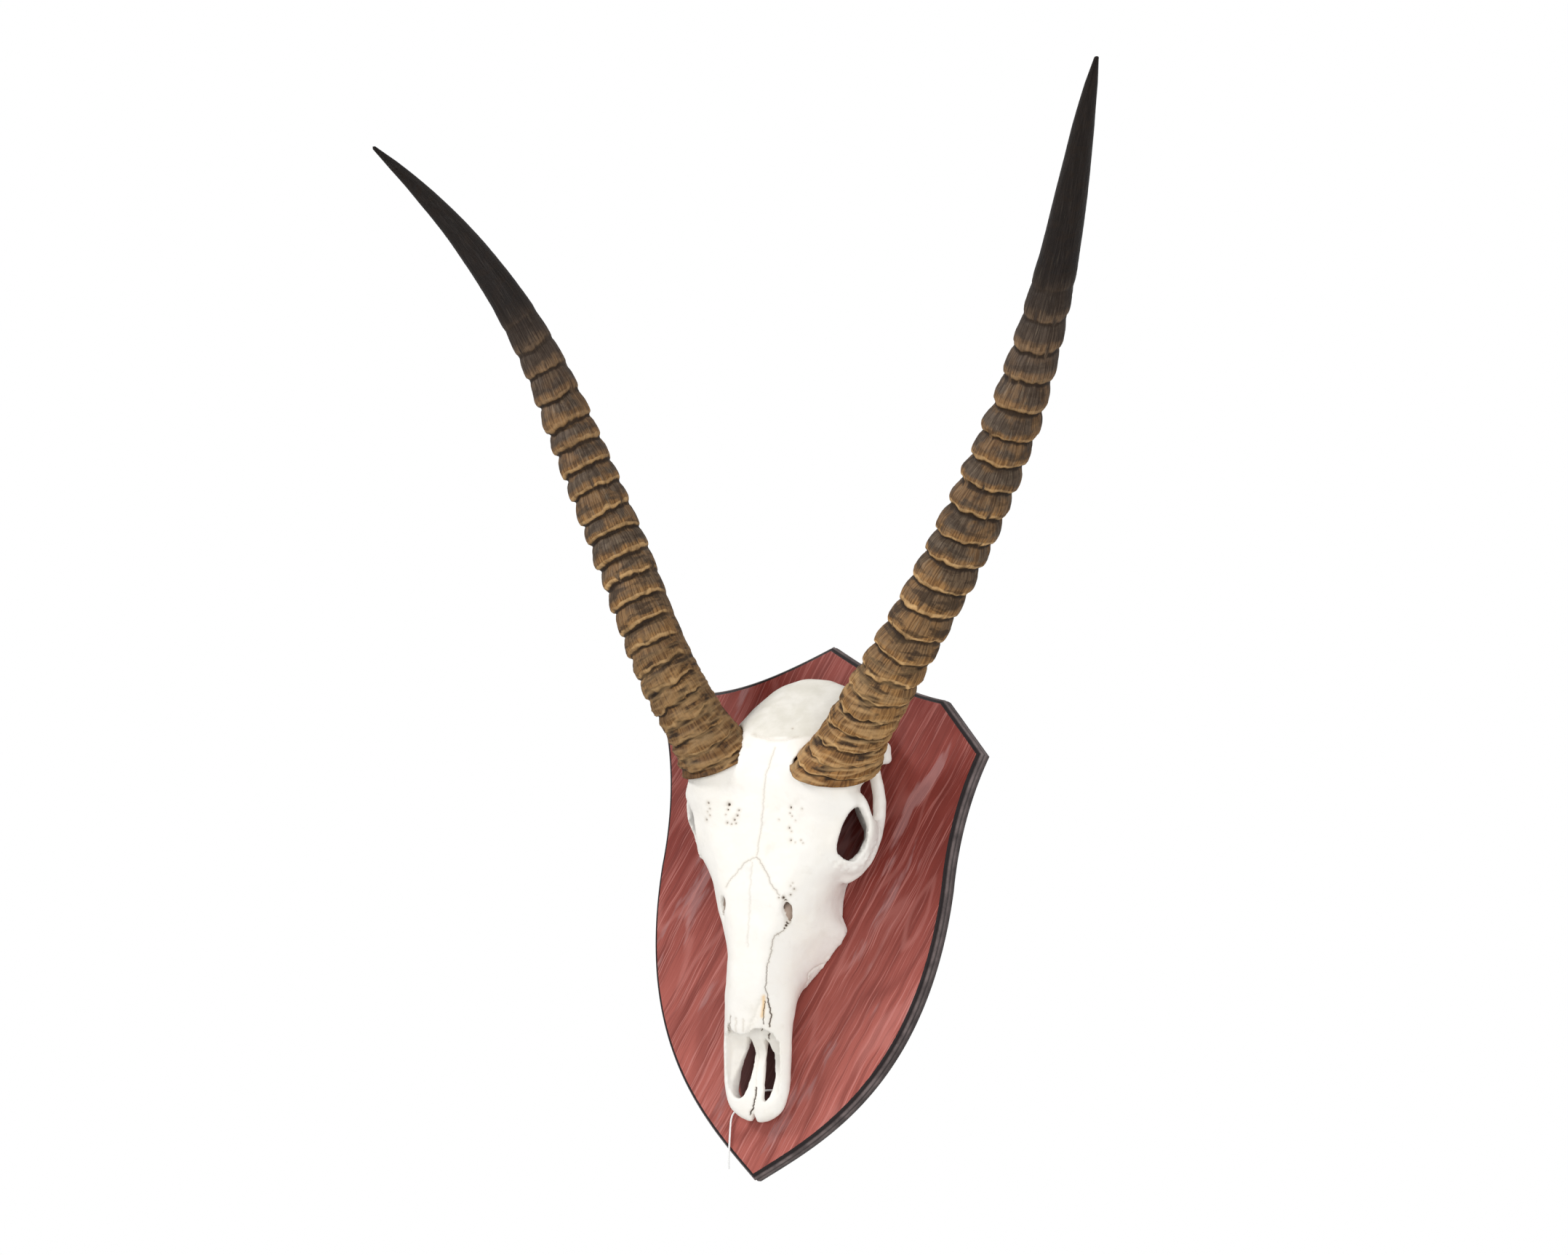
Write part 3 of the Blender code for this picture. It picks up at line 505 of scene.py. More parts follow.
def prism(bm, outline, depths):
    """Solid with a front outline in millimetres across and above the tip, between two forward depths."""
    planes = [-(BOARD_THICKNESS + depth) for depth in depths]
    skin_rings(bm, [[Vector((x * MM, y, z * MM - ORIGIN_HEIGHT)) for x, z in outline] for y in planes])


def mirrored(ring):
    """Ring of points on the other side of the middle line."""
    return [Vector((-point.x, point.y, point.z)) for point in ring]


def cut(target, name, bm, operation="DIFFERENCE"):
    """Take a solid away from the target, or add it."""
    cutter = link_mesh(name, bm)
    cutter.hide_render = True
    cutter.hide_set(True)
    boolean = target.modifiers.new(name, "BOOLEAN")
    boolean.operation = operation
    boolean.solver = "MANIFOLD"
    boolean.object = cutter


# Camera and photograph

def camera_axes():
    """Camera's place, and its directions to the right, up and backwards."""
    around, lift, roll = CAMERA_AZIMUTH, CAMERA_ELEVATION, CAMERA_ROLL
    back = Vector((math.sin(around) * math.cos(lift), -math.cos(around) * math.cos(lift), math.sin(lift)))
    level = Vector((math.cos(around), math.sin(around), 0.0))
    upright = back.cross(level)
    right = level * math.cos(roll) + upright * math.sin(roll)
    up = upright * math.cos(roll) - level * math.sin(roll)
    return Vector(CAMERA_AIM) + back * CAMERA_DISTANCE, right, up, back


def seen_on(tree, pixel):
    """Point of a surface that a pixel of the photograph shows, or None."""
    eye, right, up, back = camera_axes()
    across = pixel[0] - PHOTO_SIZE[0] / 2
    down = pixel[1] - PHOTO_SIZE[1] / 2
    direction = right * across - up * down - back * CAMERA_FOCUS_PIXELS
    return tree.ray_cast(eye, direction.normalized())[0]


# Node helpers

def number_sign(operation, turned=False):
    """Method that makes a Math node out of one of Python's signs."""
    def method(self, other):
        values = (other, self) if turned else (self, other)
        return calc(self.socket.id_data, operation, *values)
    return method


class Number:
    """Node output on which Python's signs make Math nodes."""

    def __init__(self, socket):
        self.socket = socket

    __add__ = __radd__ = number_sign("ADD")
    __mul__ = __rmul__ = number_sign("MULTIPLY")
    __sub__ = number_sign("SUBTRACT")
    __rsub__ = number_sign("SUBTRACT", turned=True)
    __truediv__ = number_sign("DIVIDE")
    __pow__ = number_sign("POWER")


def feed(tree, value, socket):
    """Link a node's output into a socket, or set the socket's constant value."""
    if isinstance(value, Number):
        value = value.socket
    if isinstance(value, bpy.types.NodeSocket):
        tree.links.new(value, socket)
    else:
        socket.default_value = value


def add_node(tree, kind, values=None, **settings):
    """New node with its settings, and its inputs set or linked."""
    made = tree.nodes.new(kind)
    for key, value in settings.items():
        setattr(made, key, value)
    for key, value in (values or {}).items():
        feed(tree, value, made.inputs[key])
    return made


def calc(tree, operation, *values):
    """Number put out by a Math node."""
    return Number(add_node(tree, "ShaderNodeMath", dict(enumerate(values)), operation=operation).outputs[0])


def vector_calc(tree, operation, *values):
    """Output of a Vector Math node."""
    made = add_node(tree, "ShaderNodeVectorMath", dict(enumerate(values)), operation=operation)
    return Number(made.outputs["Value"]) if operation == "DOT_PRODUCT" else made.outputs["Vector"]


def scaled(tree, vector, amount):
    """Vector times a number."""
    made = add_node(tree, "ShaderNodeVectorMath", {"Vector": vector, "Scale": amount}, operation="SCALE")
    return made.outputs["Vector"]


def combined(tree, x, y, z):
    """Vector with the given parts."""
    return add_node(tree, "ShaderNodeCombineXYZ", {"X": x, "Y": y, "Z": z}).outputs[0]


def parts(tree, vector):
    """X, Y and Z of a vector."""
    return [Number(part) for part in add_node(tree, "ShaderNodeSeparateXYZ", {0: vector}).outputs]


def object_place(tree):
    """Object coordinates of the point being shaded."""
    return tree.nodes.new("ShaderNodeTexCoord").outputs["Object"]


def noise_value(tree, vector, scale, detail=2.0, roughness=0.5, shift=0.0):
    """Smooth random value from 0 to 1 over space."""
    values = {"Vector": vector, "W": shift, "Scale": scale, "Detail": detail, "Roughness": roughness}
    return Number(add_node(tree, "ShaderNodeTexNoise", values, noise_dimensions="4D").outputs[0])


def between(tree, value, low, high, to_low=0.0, to_high=1.0, smooth=True):
    """Value mapped from one range to another, and held inside it."""
    values = {"Value": value, "From Min": low, "From Max": high, "To Min": to_low, "To Max": to_high}
    kind = "SMOOTHSTEP" if smooth else "LINEAR"
    return Number(add_node(tree, "ShaderNodeMapRange", values, interpolation_type=kind).outputs["Result"])


def blend_colour(tree, share, low, high, kind="MIX"):
    """Mix of two colours."""
    mix = add_node(tree, "ShaderNodeMix", data_type="RGBA", blend_type=kind)
    feed(tree, share, mix.inputs[0])
    for index, colour in ((6, low), (7, high)):
        constant = not isinstance(colour, bpy.types.NodeSocket)
        feed(tree, (*colour[:3], 1.0) if constant else colour, mix.inputs[index])
    return mix.outputs[2]


def layered(tree, colour, *layers):
    """Colour with others laid over it in turn, each (share, colour)."""
    for share, other in layers:
        colour = blend_colour(tree, share, colour, other)
    return colour


def ramp(tree, value, *stops):
    """Colour that changes along a value, from (position, colour) stops."""
    made = add_node(tree, "ShaderNodeValToRGB", {"Fac": value})
    elements = made.color_ramp.elements
    while len(elements) < len(stops):
        elements.new(0.5)
    for element, (position, colour) in zip(elements, stops):
        element.position = position
        element.color = (*colour, 1.0)
    return made.outputs["Color"]


def float_curve(tree, value, places):
    """Value read off a smooth curve through (position, height) places."""
    curve = add_node(tree, "ShaderNodeFloatCurve", {"Value": value})
    points = curve.mapping.curves[0].points
    while len(points) < len(places):
        points.new(0.5, 0.5)
    for point, place in zip(points, places):
        point.location = place
        point.handle_type = "AUTO_CLAMPED"
    curve.mapping.update()
    return Number(curve.outputs[0])


def attribute(tree, name, output="Fac"):
    """Number or vector that the mesh carries."""
    made = add_node(tree, "ShaderNodeAttribute", attribute_name=name).outputs[output]
    return Number(made) if output == "Fac" else made


def ring_band(tree, wave, centre, half_width, softness):
    """Mask of a band of the ring's cycle, given as shares of it."""
    direction = (math.cos(FULL_TURN * centre), math.sin(FULL_TURN * centre), 0.0)
    near = math.cos(FULL_TURN * (half_width + softness))
    full = math.cos(FULL_TURN * max(0.0, half_width - softness))
    return between(tree, vector_calc(tree, "DOT_PRODUCT", wave, direction), near, full)


def node_group(name, kind, inputs, output):
    """Empty node group, what it is given, and the input of its output node.

    Each input is (name, kind, default), and the output is (name, kind).
    """
    tree = bpy.data.node_groups.new(name, kind)
    for label, socket_kind, default in inputs:
        socket = tree.interface.new_socket(label, in_out="INPUT", socket_type=f"NodeSocket{socket_kind}")
        if default is not None:
            socket.default_value = default
    tree.interface.new_socket(output[0], in_out="OUTPUT", socket_type=f"NodeSocket{output[1]}")
    sockets = tree.nodes.new("NodeGroupInput").outputs
    given = {socket.name: Number(socket) for socket in sockets if socket.name}
    return tree, given, tree.nodes.new("NodeGroupOutput").inputs[0]


def fibre_mask(tree, given):
    """Long thin streaks that run along Z, for wood grain and horn fibres."""
    stretch = combined(tree, given["Across"], given["Across"], given["Along"])
    stretched = vector_calc(tree, "MULTIPLY", given["Vector"], stretch)
    return between(tree, noise_value(tree, stretched, 1.0, 3.0, 0.6), given["Low"], given["High"])


def patch_mask(tree, given):
    """Soft irregular patches, for stains, wear and changes of tone."""
    clouds = noise_value(tree, given["Vector"], given["Scale"], 4.0, 0.55, given["Shift"])
    return between(tree, clouds, given["Low"], given["High"])


# Shader node groups: the inputs with their defaults, and what fills the group
MASK_GROUPS = {
    "long_fibres": ({"Across": 500.0, "Along": 10.0, "Low": 0.4, "High": 0.6}, fibre_mask),
    "soft_patches": ({"Scale": 30.0, "Shift": 0.0, "Low": 0.45, "High": 0.65}, patch_mask),
}


def mask(tree, name, vector, *values):
    """Mask put out by a shader node group, which is built the first time it is used.

    The values follow the group's inputs. Scales are waves per metre, and the mask starts at Low
    and is full at High.
    """
    defaults, fill = MASK_GROUPS[name]
    group = bpy.data.node_groups.get(name)
    if group is None:
        inputs = [("Vector", "Vector", None)] + [(label, "Float", value) for label, value in defaults.items()]
        group, given, result = node_group(name, "ShaderNodeTree", inputs, ("Mask", "Float"))
        feed(group, fill(group, given), result)
    made = tree.nodes.new("ShaderNodeGroup")
    made.node_tree = group
    for label, value in zip(("Vector", *defaults), (vector, *values)):
        feed(tree, value, made.inputs[label])
    return Number(made.outputs["Mask"])


def new_material(name, roughness, gloss=0.5):
    """Material with a Principled shader, and the tree and the shader's inputs."""
    material = bpy.data.materials.new(name)
    material.use_nodes = True
    inputs = material.node_tree.nodes["Principled BSDF"].inputs
    inputs["Roughness"].default_value = roughness
    inputs["Specular IOR Level"].default_value = gloss
    return material, material.node_tree, inputs


def surface(tree, inputs, colour, relief, distance, strength, rough=None):
    """Lead a colour, a relief and a roughness into the shader."""
    bump = add_node(tree, "ShaderNodeBump", {"Height": relief, "Distance": distance, "Strength": strength})
    feed(tree, colour, inputs["Base Color"])
    feed(tree, bump.outputs["Normal"], inputs["Normal"])
    if rough is not None:
        feed(tree, rough, inputs["Roughness"])


# Board

def board_half_outline():
    """Right half of the face's outline, from tip to apex, as (across, height) points."""
    lower, middle, upper = [bezier(*curve) for curve in BOARD_CURVES]
    shares = [index / SHOULDER_POINTS for index in range(SHOULDER_POINTS)]
    corner = [tuple(a + (b - a) * share for a, b in zip(BOARD_WING, BOARD_SHOULDER)) for share in shares]
    return [*lower, *middle, *corner, *upper, BOARD_APEX]


def offset_outline(points, distance):
    """Half outline moved outwards by a distance, with both ends kept on the middle line."""
    padded = [(-points[1][0], points[1][1])] + points + [(-points[-2][0], points[-2][1])]
    moved = []
    for before, here, after in zip(padded, padded[1:], padded[2:]):
        first = Vector((here[0] - before[0], here[1] - before[1])).normalized()
        second = Vector((after[0] - here[0], after[1] - here[1])).normalized()
        normal = Vector((first.y + second.y, -first.x - second.x)).normalized()
        reach = distance / max(SHARPEST_CORNER, normal.dot(Vector((first.y, -first.x))))
        moved.append((here[0] + normal.x * reach, here[1] + normal.y * reach))
    moved[0] = (0.0, moved[0][1])
    moved[-1] = (0.0, moved[-1][1])
    return moved


def wood_colour(tree, coordinates, colours):
    """Red stain over a slanting open grain with painted shade under the snout, and the masks of its pale
    fibres and growth lines.
    """
    slant = {"Vector": coordinates, "Rotation": (0.0, -GRAIN_ANGLE, 0.0)}
    turned = add_node(tree, "ShaderNodeMapping", slant)
    bend = (noise_value(tree, coordinates, 16.0, 2.0) - 0.5) * GRAIN_BEND
    grain = vector_calc(tree, "ADD", turned.outputs[0], combined(tree, bend, 0.0, 0.0))
    swell = noise_value(tree, vector_calc(tree, "MULTIPLY", grain, (17.0, 17.0, 3.6)), 1.0, 2.0, 0.5, 2.3)
    rings = calc(tree, "PINGPONG", swell * GROWTH_RINGS, 1.0)
    lines = between(tree, rings, 0.80, 0.97)
    late_wood = between(tree, rings, 0.45, 0.0)
    fibres, wide_fibres, dark_fibres, fine_dark = [
        mask(tree, "long_fibres", grain, *row) for row in WOOD_FIBRES
    ]
    tone = mask(tree, "soft_patches", grain, 9.0, 4.0, 0.38, 0.60)
    stretched = vector_calc(tree, "MULTIPLY", grain, (60.0, 60.0, 11.0))
    faded = mask(tree, "soft_patches", stretched, 1.0, 1.5, 0.58, 0.64)
    _, depth, height = parts(tree, coordinates)
    tone = calc(tree, "MAXIMUM", tone * 0.45, between(tree, height, -0.11, 0.07, 1.0, 0.0))
    bright = calc(tree, "MAXIMUM", lines * 0.24, fibres * 0.52)
    bright = calc(tree, "MAXIMUM", bright, wide_fibres * 0.50)
    bright = bright * between(tree, height, -0.04, 0.12, 1.0, 0.62)
    # Painted shade on the board's face under the snout, in the edge colour
    middle = (PAINTED_SHADE_ACROSS, 0.0, PAINTED_SHADE_HEIGHT - ORIGIN_HEIGHT)
    stretch = (1 / PAINTED_SHADE_HALF[0], 0.0, 1 / PAINTED_SHADE_HALF[1])
    painted_snout_shade = vector_calc(tree, "SUBTRACT", coordinates, middle)
    painted_snout_shade = vector_calc(tree, "MULTIPLY", painted_snout_shade, stretch)
    painted_snout_shade = between(tree, vector_calc(tree, "DOT_PRODUCT", painted_snout_shade, painted_snout_shade), 0.7, 1.0, 0.85, 0.0)
    front_only = between(tree, depth, 0.001 - BOARD_THICKNESS, 0.002 - BOARD_THICKNESS, 1.0, 0.0)
    colour = layered(
        tree, colours.stain_deep,
        (tone, colours.stain),
        (late_wood * 0.40, colours.stain_dark),
        (dark_fibres * 0.45, colours.stain_dark),
        (fine_dark * 0.35, colours.stain_dark),
        (faded * 0.60, colours.faded),
        (bright, colours.streak),
        # painted shade under the snout
        (painted_snout_shade * front_only, colours.edge),
    )
    return colour, fibres, lines


def stained_wood(colours):
    """Mahogany-red stained wood with a black-brown painted edge, rubbed pale and lit by painted highlights on
    its ridges.
    """
    material, tree, inputs = new_material("stained_wood", 0.5, 0.18)
    coordinates = object_place(tree)
    colour, fibres, lines = wood_colour(tree, coordinates, colours)
    ragged = noise_value(tree, coordinates, 420.0, 3.0, 0.6)
    painted = between(tree, attribute(tree, "edge_paint") + ragged * 0.5, 0.74, 0.92)
    # Pale bands on the edge's beads: partly rubbed paint, partly painted highlight
    rub_and_highlight = mask(tree, "soft_patches", coordinates, 95.0, 3.0, 0.30, 0.72) * 0.65 + 0.35
    rub_and_highlight = rub_and_highlight * (attribute(tree, "edge_shine") * 0.95 + 0.05)
    colour = layered(tree, colour, (painted, blend_colour(tree, rub_and_highlight, colours.edge, colours.edge_rubbed_and_highlight)))
    rough = between(tree, fibres, 0.0, 1.0, 0.46, 0.60)
    surface(tree, inputs, colour, fibres * 0.6 + lines * 0.4, 0.00012, 0.6, rough)
    return material


def build_board(settings):
    """Board with a routed, dark-painted edge and a blind hanging hole, in place of the plain solid."""
    half = board_half_outline()
    bm = bmesh.new()
    layers = [bm.verts.layers.float.new(name) for name in ("edge_paint", "edge_shine")]
    rings = []
    for outward, depth, *_ in BOARD_PROFILE:
        moved = offset_outline(half, outward * MM)
        side = [Vector((x, depth * MM - BOARD_THICKNESS, z - ORIGIN_HEIGHT)) for x, z in moved]
        rings.append(side + mirrored(reversed(side[1:-1])))
    for ring, (_, _, *shades) in zip(skin_rings(bm, rings), BOARD_PROFILE):
        for vert in ring:
            for layer, shade in zip(layers, shades):
                vert[layer] = shade
    board = link_mesh("stained_board", bm)
    hole = bmesh.new()
    middle = Matrix.Translation((0.0, 0.0, HANGING_HOLE_HEIGHT - ORIGIN_HEIGHT))
    bmesh.ops.create_cone(
        hole, cap_ends=True, segments=48, radius1=HANGING_HOLE_RADIUS, radius2=HANGING_HOLE_RADIUS,
        depth=2 * HANGING_HOLE_DEPTH, matrix=middle @ Matrix.Rotation(math.pi / 2, 4, "X"),
    )
    cut(board, "hanging_hole", hole)
    board = settle(board, "stained_board")
    set_finish(board, stained_wood(settings))
    board.data.shade_smooth()
    board.data.set_sharp_from_angle(angle=SHARP_EDGE)
    return board


# Horns

def horn_axis():
    """Even points along the right horn's axis, the direction at each one, and the length."""
    points = even_path(HORN_AXIS, AXIS_STEP)
    last = len(points) - 1
    headings = [
        (points[min(index + 1, last)] - points[max(index - 1, 0)]).normalized() for index in range(last + 1)
    ]
    return points, headings, path_length(points)


def axis_point(axis, arc):
    """Point of the axis at an arc length, carried straight on behind its start."""
    points, headings, length = axis
    if arc <= 0.0:
        return points[0] + headings[0] * arc
    position = min(arc / length, 1.0) * (len(points) - 1)
    index = min(int(position), len(points) - 2)
    return points[index].lerp(points[index + 1], position - index)


def seat_ring(axis, arc, widen=0.0):
    """Ring of points round the horn's base, level with the slanting seat."""
    _, headings, length = axis
    facing = Vector(SEAT_FACING).normalized()
    toward_seat = max(0.0, 1.0 - max(arc, 0.0) / SEAT_REACH) ** SEAT_EASE
    radius = lookup(HORN_RADIUS, arc / length) * MM
    heading = headings[0]
    front = Vector(TO_FRONT)
    front = (front - heading * front.dot(heading)).normalized()
    side = front.cross(heading)
    ring = []
    for turn in range(SEAT_SIDES):
        angle = FULL_TURN * turn / SEAT_SIDES
        oval = math.hypot(HORN_LONG * math.cos(angle - HORN_TURN), HORN_SHORT * math.sin(angle - HORN_TURN))
        reach = radius * oval + widen
        spoke = front * math.cos(angle) + side * math.sin(angle)
        here = arc - reach * spoke.dot(facing) / heading.dot(facing) * toward_seat
        ring.append(axis_point(axis, here) + spoke * reach)
    return ring


def ring_numbers(length):
    """Arc length of each ridge, with the ones before the base and past the last going on evenly."""
    places = [RING_FIRST]
    while places[-1] < length:
        share = min(1.0, max(0.0, places[-1] - RING_CLOSE) / RING_PITCH_REACH)
        pitch = RING_PITCH_BASE + (RING_PITCH_TOP - RING_PITCH_BASE) * share
        if places[-1] > RING_LAST_FROM:
            pitch = RING_PITCH_LAST
        places.append(places[-1] + pitch)
    before = [RING_FIRST - RING_PITCH_BASE * step for step in (4, 3, 2, 1)]
    return [(arc, number - len(before)) for number, arc in enumerate(before + places)]


def axis_mesh():
    """Line along the horn that carries its radius, its ring numbers and their strength."""
    points, _, length = horn_axis()
    mesh = bpy.data.meshes.new("horn_line")
    edges = [(index, index + 1) for index in range(len(points) - 1)]
    mesh.from_pydata([tuple(point) for point in points], edges, [])
    numbers = ring_numbers(length)
    values = {"radius_here": [], "ring_number": [], "ring_strength": []}
    for index in range(len(points)):
        arc = length * index / (len(points) - 1)
        number = lookup(numbers, arc)
        fade = 1.0 - max(0.0, (number - RING_FADE_FROM) / (RING_COUNT + 1 - RING_FADE_FROM))
        values["radius_here"].append(lookup(HORN_RADIUS, arc / length) * MM)
        values["ring_number"].append(number)
        values["ring_strength"].append(max(0.0, fade) * (0.55 + 0.45 * min(1.0, max(0.0, number - 2) / 10)))
    for name, numbers_here in values.items():
        layer = mesh.attributes.new(name, "FLOAT", "POINT")
        layer.data.foreach_set("value", numbers_here)
    return mesh


def horn_tree():
    """Node tree that grows a ringed horn round a line, level with its seat at the base."""
    inputs = (
        ("Line", "Geometry", None), ("Sides", "Int", 130), ("Steps", "Int", 740),
        ("Ring Height", "Float", 0.0024), ("Ring Tilt", "Float", 0.20), ("Ring Wobble", "Float", 0.30),
        ("Seat Reach", "Float", SEAT_REACH), ("Seat Facing", "Vector", (0.0, 0.0, 1.0)),
        ("Base Heading", "Vector", (0.0, 0.0, 1.0)), ("Long Side", "Float", HORN_LONG),
        ("Short Side", "Float", HORN_SHORT), ("Turn", "Float", HORN_TURN), ("Fibre Height", "Float", 0.0002),
        ("Dent Height", "Float", 0.0005), ("Variation", "Float", 0.0), ("Side", "Float", 1.0),
        ("Finish", "Material", None),
    )
    tree, given, result = node_group("ringed_horn", "GeometryNodeTree", inputs, ("Horn", "Geometry"))

    def m(operation, *values):
        """Number from a Math node."""
        return calc(tree, operation, *values)

    def v(operation, *values):
        """Vector or number from a Vector Math node."""
        return vector_calc(tree, operation, *values)

    def held_between(value, low, high):
        """Number that doesn't pass two limits."""
        return m("MINIMUM", m("MAXIMUM", value, low), high)

    def varied(place, scale, detail=1.0, roughness=0.5, shift=None):
        """Noise that differs between the two horns."""
        variation = given["Variation"] if shift is None else given["Variation"] + shift
        return noise_value(tree, place, scale, detail, roughness, variation)

    line = add_node(tree, "GeometryNodeMeshToCurve", {"Mesh": given["Line"]}).outputs[0]
    length = Number(add_node(tree, "GeometryNodeCurveLength", {"Curve": line}).outputs[0])

    def sampled(arc):
        """Node that reads the line at an arc length."""
        return add_node(tree, "GeometryNodeSampleCurve", {"Curves": line, "Length": arc}, mode="LENGTH")

    def on_line(name, arc):
        """Number that the line carries, at an arc length."""
        value = add_node(tree, "GeometryNodeInputNamedAttribute", {"Name": name}, data_type="FLOAT")
        sample = sampled(arc)
        tree.links.new(value.outputs[0], sample.inputs["Value"])
        return Number(sample.outputs[0])

    # A flat grid is rolled round the line: X goes round it and Y along it, with closed rows at both ends
    steps = given["Steps"]
    sheet = {"Size X": 1.0, "Size Y": 1.0, "Vertices X": given["Sides"] + 1.0, "Vertices Y": steps + 1.0}
    grid = add_node(tree, "GeometryNodeMeshGrid", sheet).outputs["Mesh"]
    corner_x, corner_y, _ = parts(tree, add_node(tree, "GeometryNodeInputPosition").outputs[0])
    angle = (corner_x + 0.5) * FULL_TURN
    row = (corner_y + 0.5) * steps
    at_tip = m("GREATER_THAN", row, steps - 0.5)
    open_row = m("GREATER_THAN", row, 0.5) * (1.0 - at_tip)
    body = held_between((row - 1.0) / (steps - 2.0), 0.0, 1.0) * (length * 0.995)
    arc = body + at_tip * length * 0.0025
    cosine = m("COSINE", angle)
    sine = m("SINE", angle)
    grain = combined(tree, cosine * GRAIN_RADIUS, sine * GRAIN_RADIUS, arc)

    # Rings: where each one runs, its profile and its strength
    plain_number = on_line("ring_number", arc)
    rough_base = between(tree, plain_number, 2.0, 9.0, 1.0, 0.0)
    wobble = varied(grain, 60.0, 3.0, 0.55) - 0.5
    scallop = varied(grain, 150.0, shift=5.0) - 0.5
    unrest = given["Ring Wobble"] * (1.0 + rough_base * 1.6)
    leaning = (varied(combined(tree, 0.0, 0.0, arc), 55.0, shift=11.0) - 0.5) * cosine * 0.7
    number = plain_number + ((wobble + scallop * 0.75) * unrest + leaning)
    whole = m("FLOOR", number)
    phase = number - whole
    profile = float_curve(tree, phase, RING_PROFILE)
    around = float_curve(tree, angle / FULL_TURN, RINGS_AROUND)
    around = around + (1.0 - around) * between(tree, plain_number, 6.0, 14.0, 0.0, 0.55)
    one_ring = add_node(
        tree, "ShaderNodeTexWhiteNoise", {"W": whole + given["Variation"]}, noise_dimensions="1D",
    )
    strength = on_line("ring_strength", arc) * (0.76 + Number(one_ring.outputs["Value"]) * 0.30)
    strength = strength * (0.60 + varied(grain, 75.0, 2.0, shift=7.0) * 0.80) * around
    nicks = between(tree, varied(v("MULTIPLY", grain, (210.0, 210.0, 60.0)), 1.0), 0.60, 0.72)
    ring = profile * strength * (1.0 - nicks * 0.35)
    swell = (ring - strength * 0.30) * given["Ring Height"]

    # Fibres, creases and dents
    creases = varied(v("MULTIPLY", grain, (34.0, 34.0, 165.0)), 1.0, 2.0, 0.55)
    wrinkle = m("MAXIMUM", 1.0 - m("ABSOLUTE", creases - 0.5) * 13.0, 0.0)
    threads = varied(v("MULTIPLY", grain, (560.0, 560.0, 42.0)), 1.0, 2.0, 0.55)
    fibre = (threads - 0.5) * (given["Fibre Height"] * 2.0)
    fibre = fibre * between(tree, plain_number, 15.0, 20.0, 1.0, 0.25)
    dent = (varied(grain, 130.0, 3.0, 0.6, 3.0) - 0.5) * 1.6 + wrinkle * 1.1
    dent = dent * given["Dent Height"] * (rough_base * 0.9 + 0.12)

    # Distance from the axis, round an oval
    turned = angle - given["Turn"]
    long_part = (m("COSINE", turned) * given["Long Side"]) ** 2.0
    short_part = (m("SINE", turned) * given["Short Side"]) ** 2.0
    radius = on_line("radius_here", arc)
    fine = (fibre + dent) * m("MINIMUM", radius * 90.0, 1.0)
    reach = (radius * m("SQRT", long_part + short_part) + swell + fine) * open_row

    def spoke_about(heading):
        """Direction from the axis outwards, square to the way that the axis runs."""
        along = v("DOT_PRODUCT", TO_FRONT, heading)
        front = v("NORMALIZE", v("SUBTRACT", TO_FRONT, scaled(tree, heading, along)))
        side = v("CROSS_PRODUCT", front, heading)
        return v("ADD", scaled(tree, front, cosine), scaled(tree, side, sine))

    # Rows slant to the seat at the base, and drop a little in front further up
    facing = given["Seat Facing"]
    base_heading = given["Base Heading"]
    lean = v("DOT_PRODUCT", spoke_about(base_heading), facing) / v("DOT_PRODUCT", base_heading, facing)
    toward_seat = m("MAXIMUM", 1.0 - arc / given["Seat Reach"], 0.0) ** SEAT_EASE
    seat_shift = reach * lean * (toward_seat * -1.0)
    tilt_shift = reach * cosine * (given["Ring Tilt"] * -1.0) * (1.0 - toward_seat)
    here = arc + (seat_shift + tilt_shift)
    held = held_between(here, 0.0, length)
    sample = sampled(held).outputs
    heading = v("NORMALIZE", sample["Tangent"])
    centre = v("ADD", sample["Position"], scaled(tree, heading, here - held))
    point = v("ADD", centre, scaled(tree, spoke_about(heading), reach))
    place = v("MULTIPLY", point, combined(tree, given["Side"], 1.0, 1.0))

    cycle = phase * FULL_TURN
    wave = combined(tree, m("COSINE", cycle), m("SINE", cycle), wrinkle * rough_base)
    stored = (
        ("ring_wave", "FLOAT_VECTOR", wave), ("ring_show", "FLOAT", strength * (1.0 - nicks)),
        ("along", "FLOAT", arc / length), ("grain", "FLOAT_VECTOR", grain),
    )
    shape = grid
    for name, kind, value in stored:
        named = {"Geometry": shape, "Name": name}
        store = add_node(tree, "GeometryNodeStoreNamedAttribute", named, data_type=kind, domain="POINT")
        feed(tree, value, store.inputs["Value"])
        shape = store.outputs[0]
    for kind, values in (
        ("SetPosition", {"Position": place}), ("MergeByDistance", {"Distance": 1e-5}), ("SetShadeSmooth", {}),
        ("RealizeInstances", {}), ("SetMaterial", {"Material": given["Finish"]}),
    ):
        shape = add_node(tree, f"GeometryNode{kind}", {0: shape, **values}).outputs[0]
    feed(tree, shape, result)
    return tree


def set_input(modifier, label, value):
    """Set a Geometry Nodes modifier's input, found by its socket's identifier."""
    for item in modifier.node_group.interface.items_tree:
        if item.item_type == "SOCKET" and item.in_out == "INPUT" and item.name == label:
            modifier[item.identifier] = value
            return
    raise ValueError(f"no input named {label}")


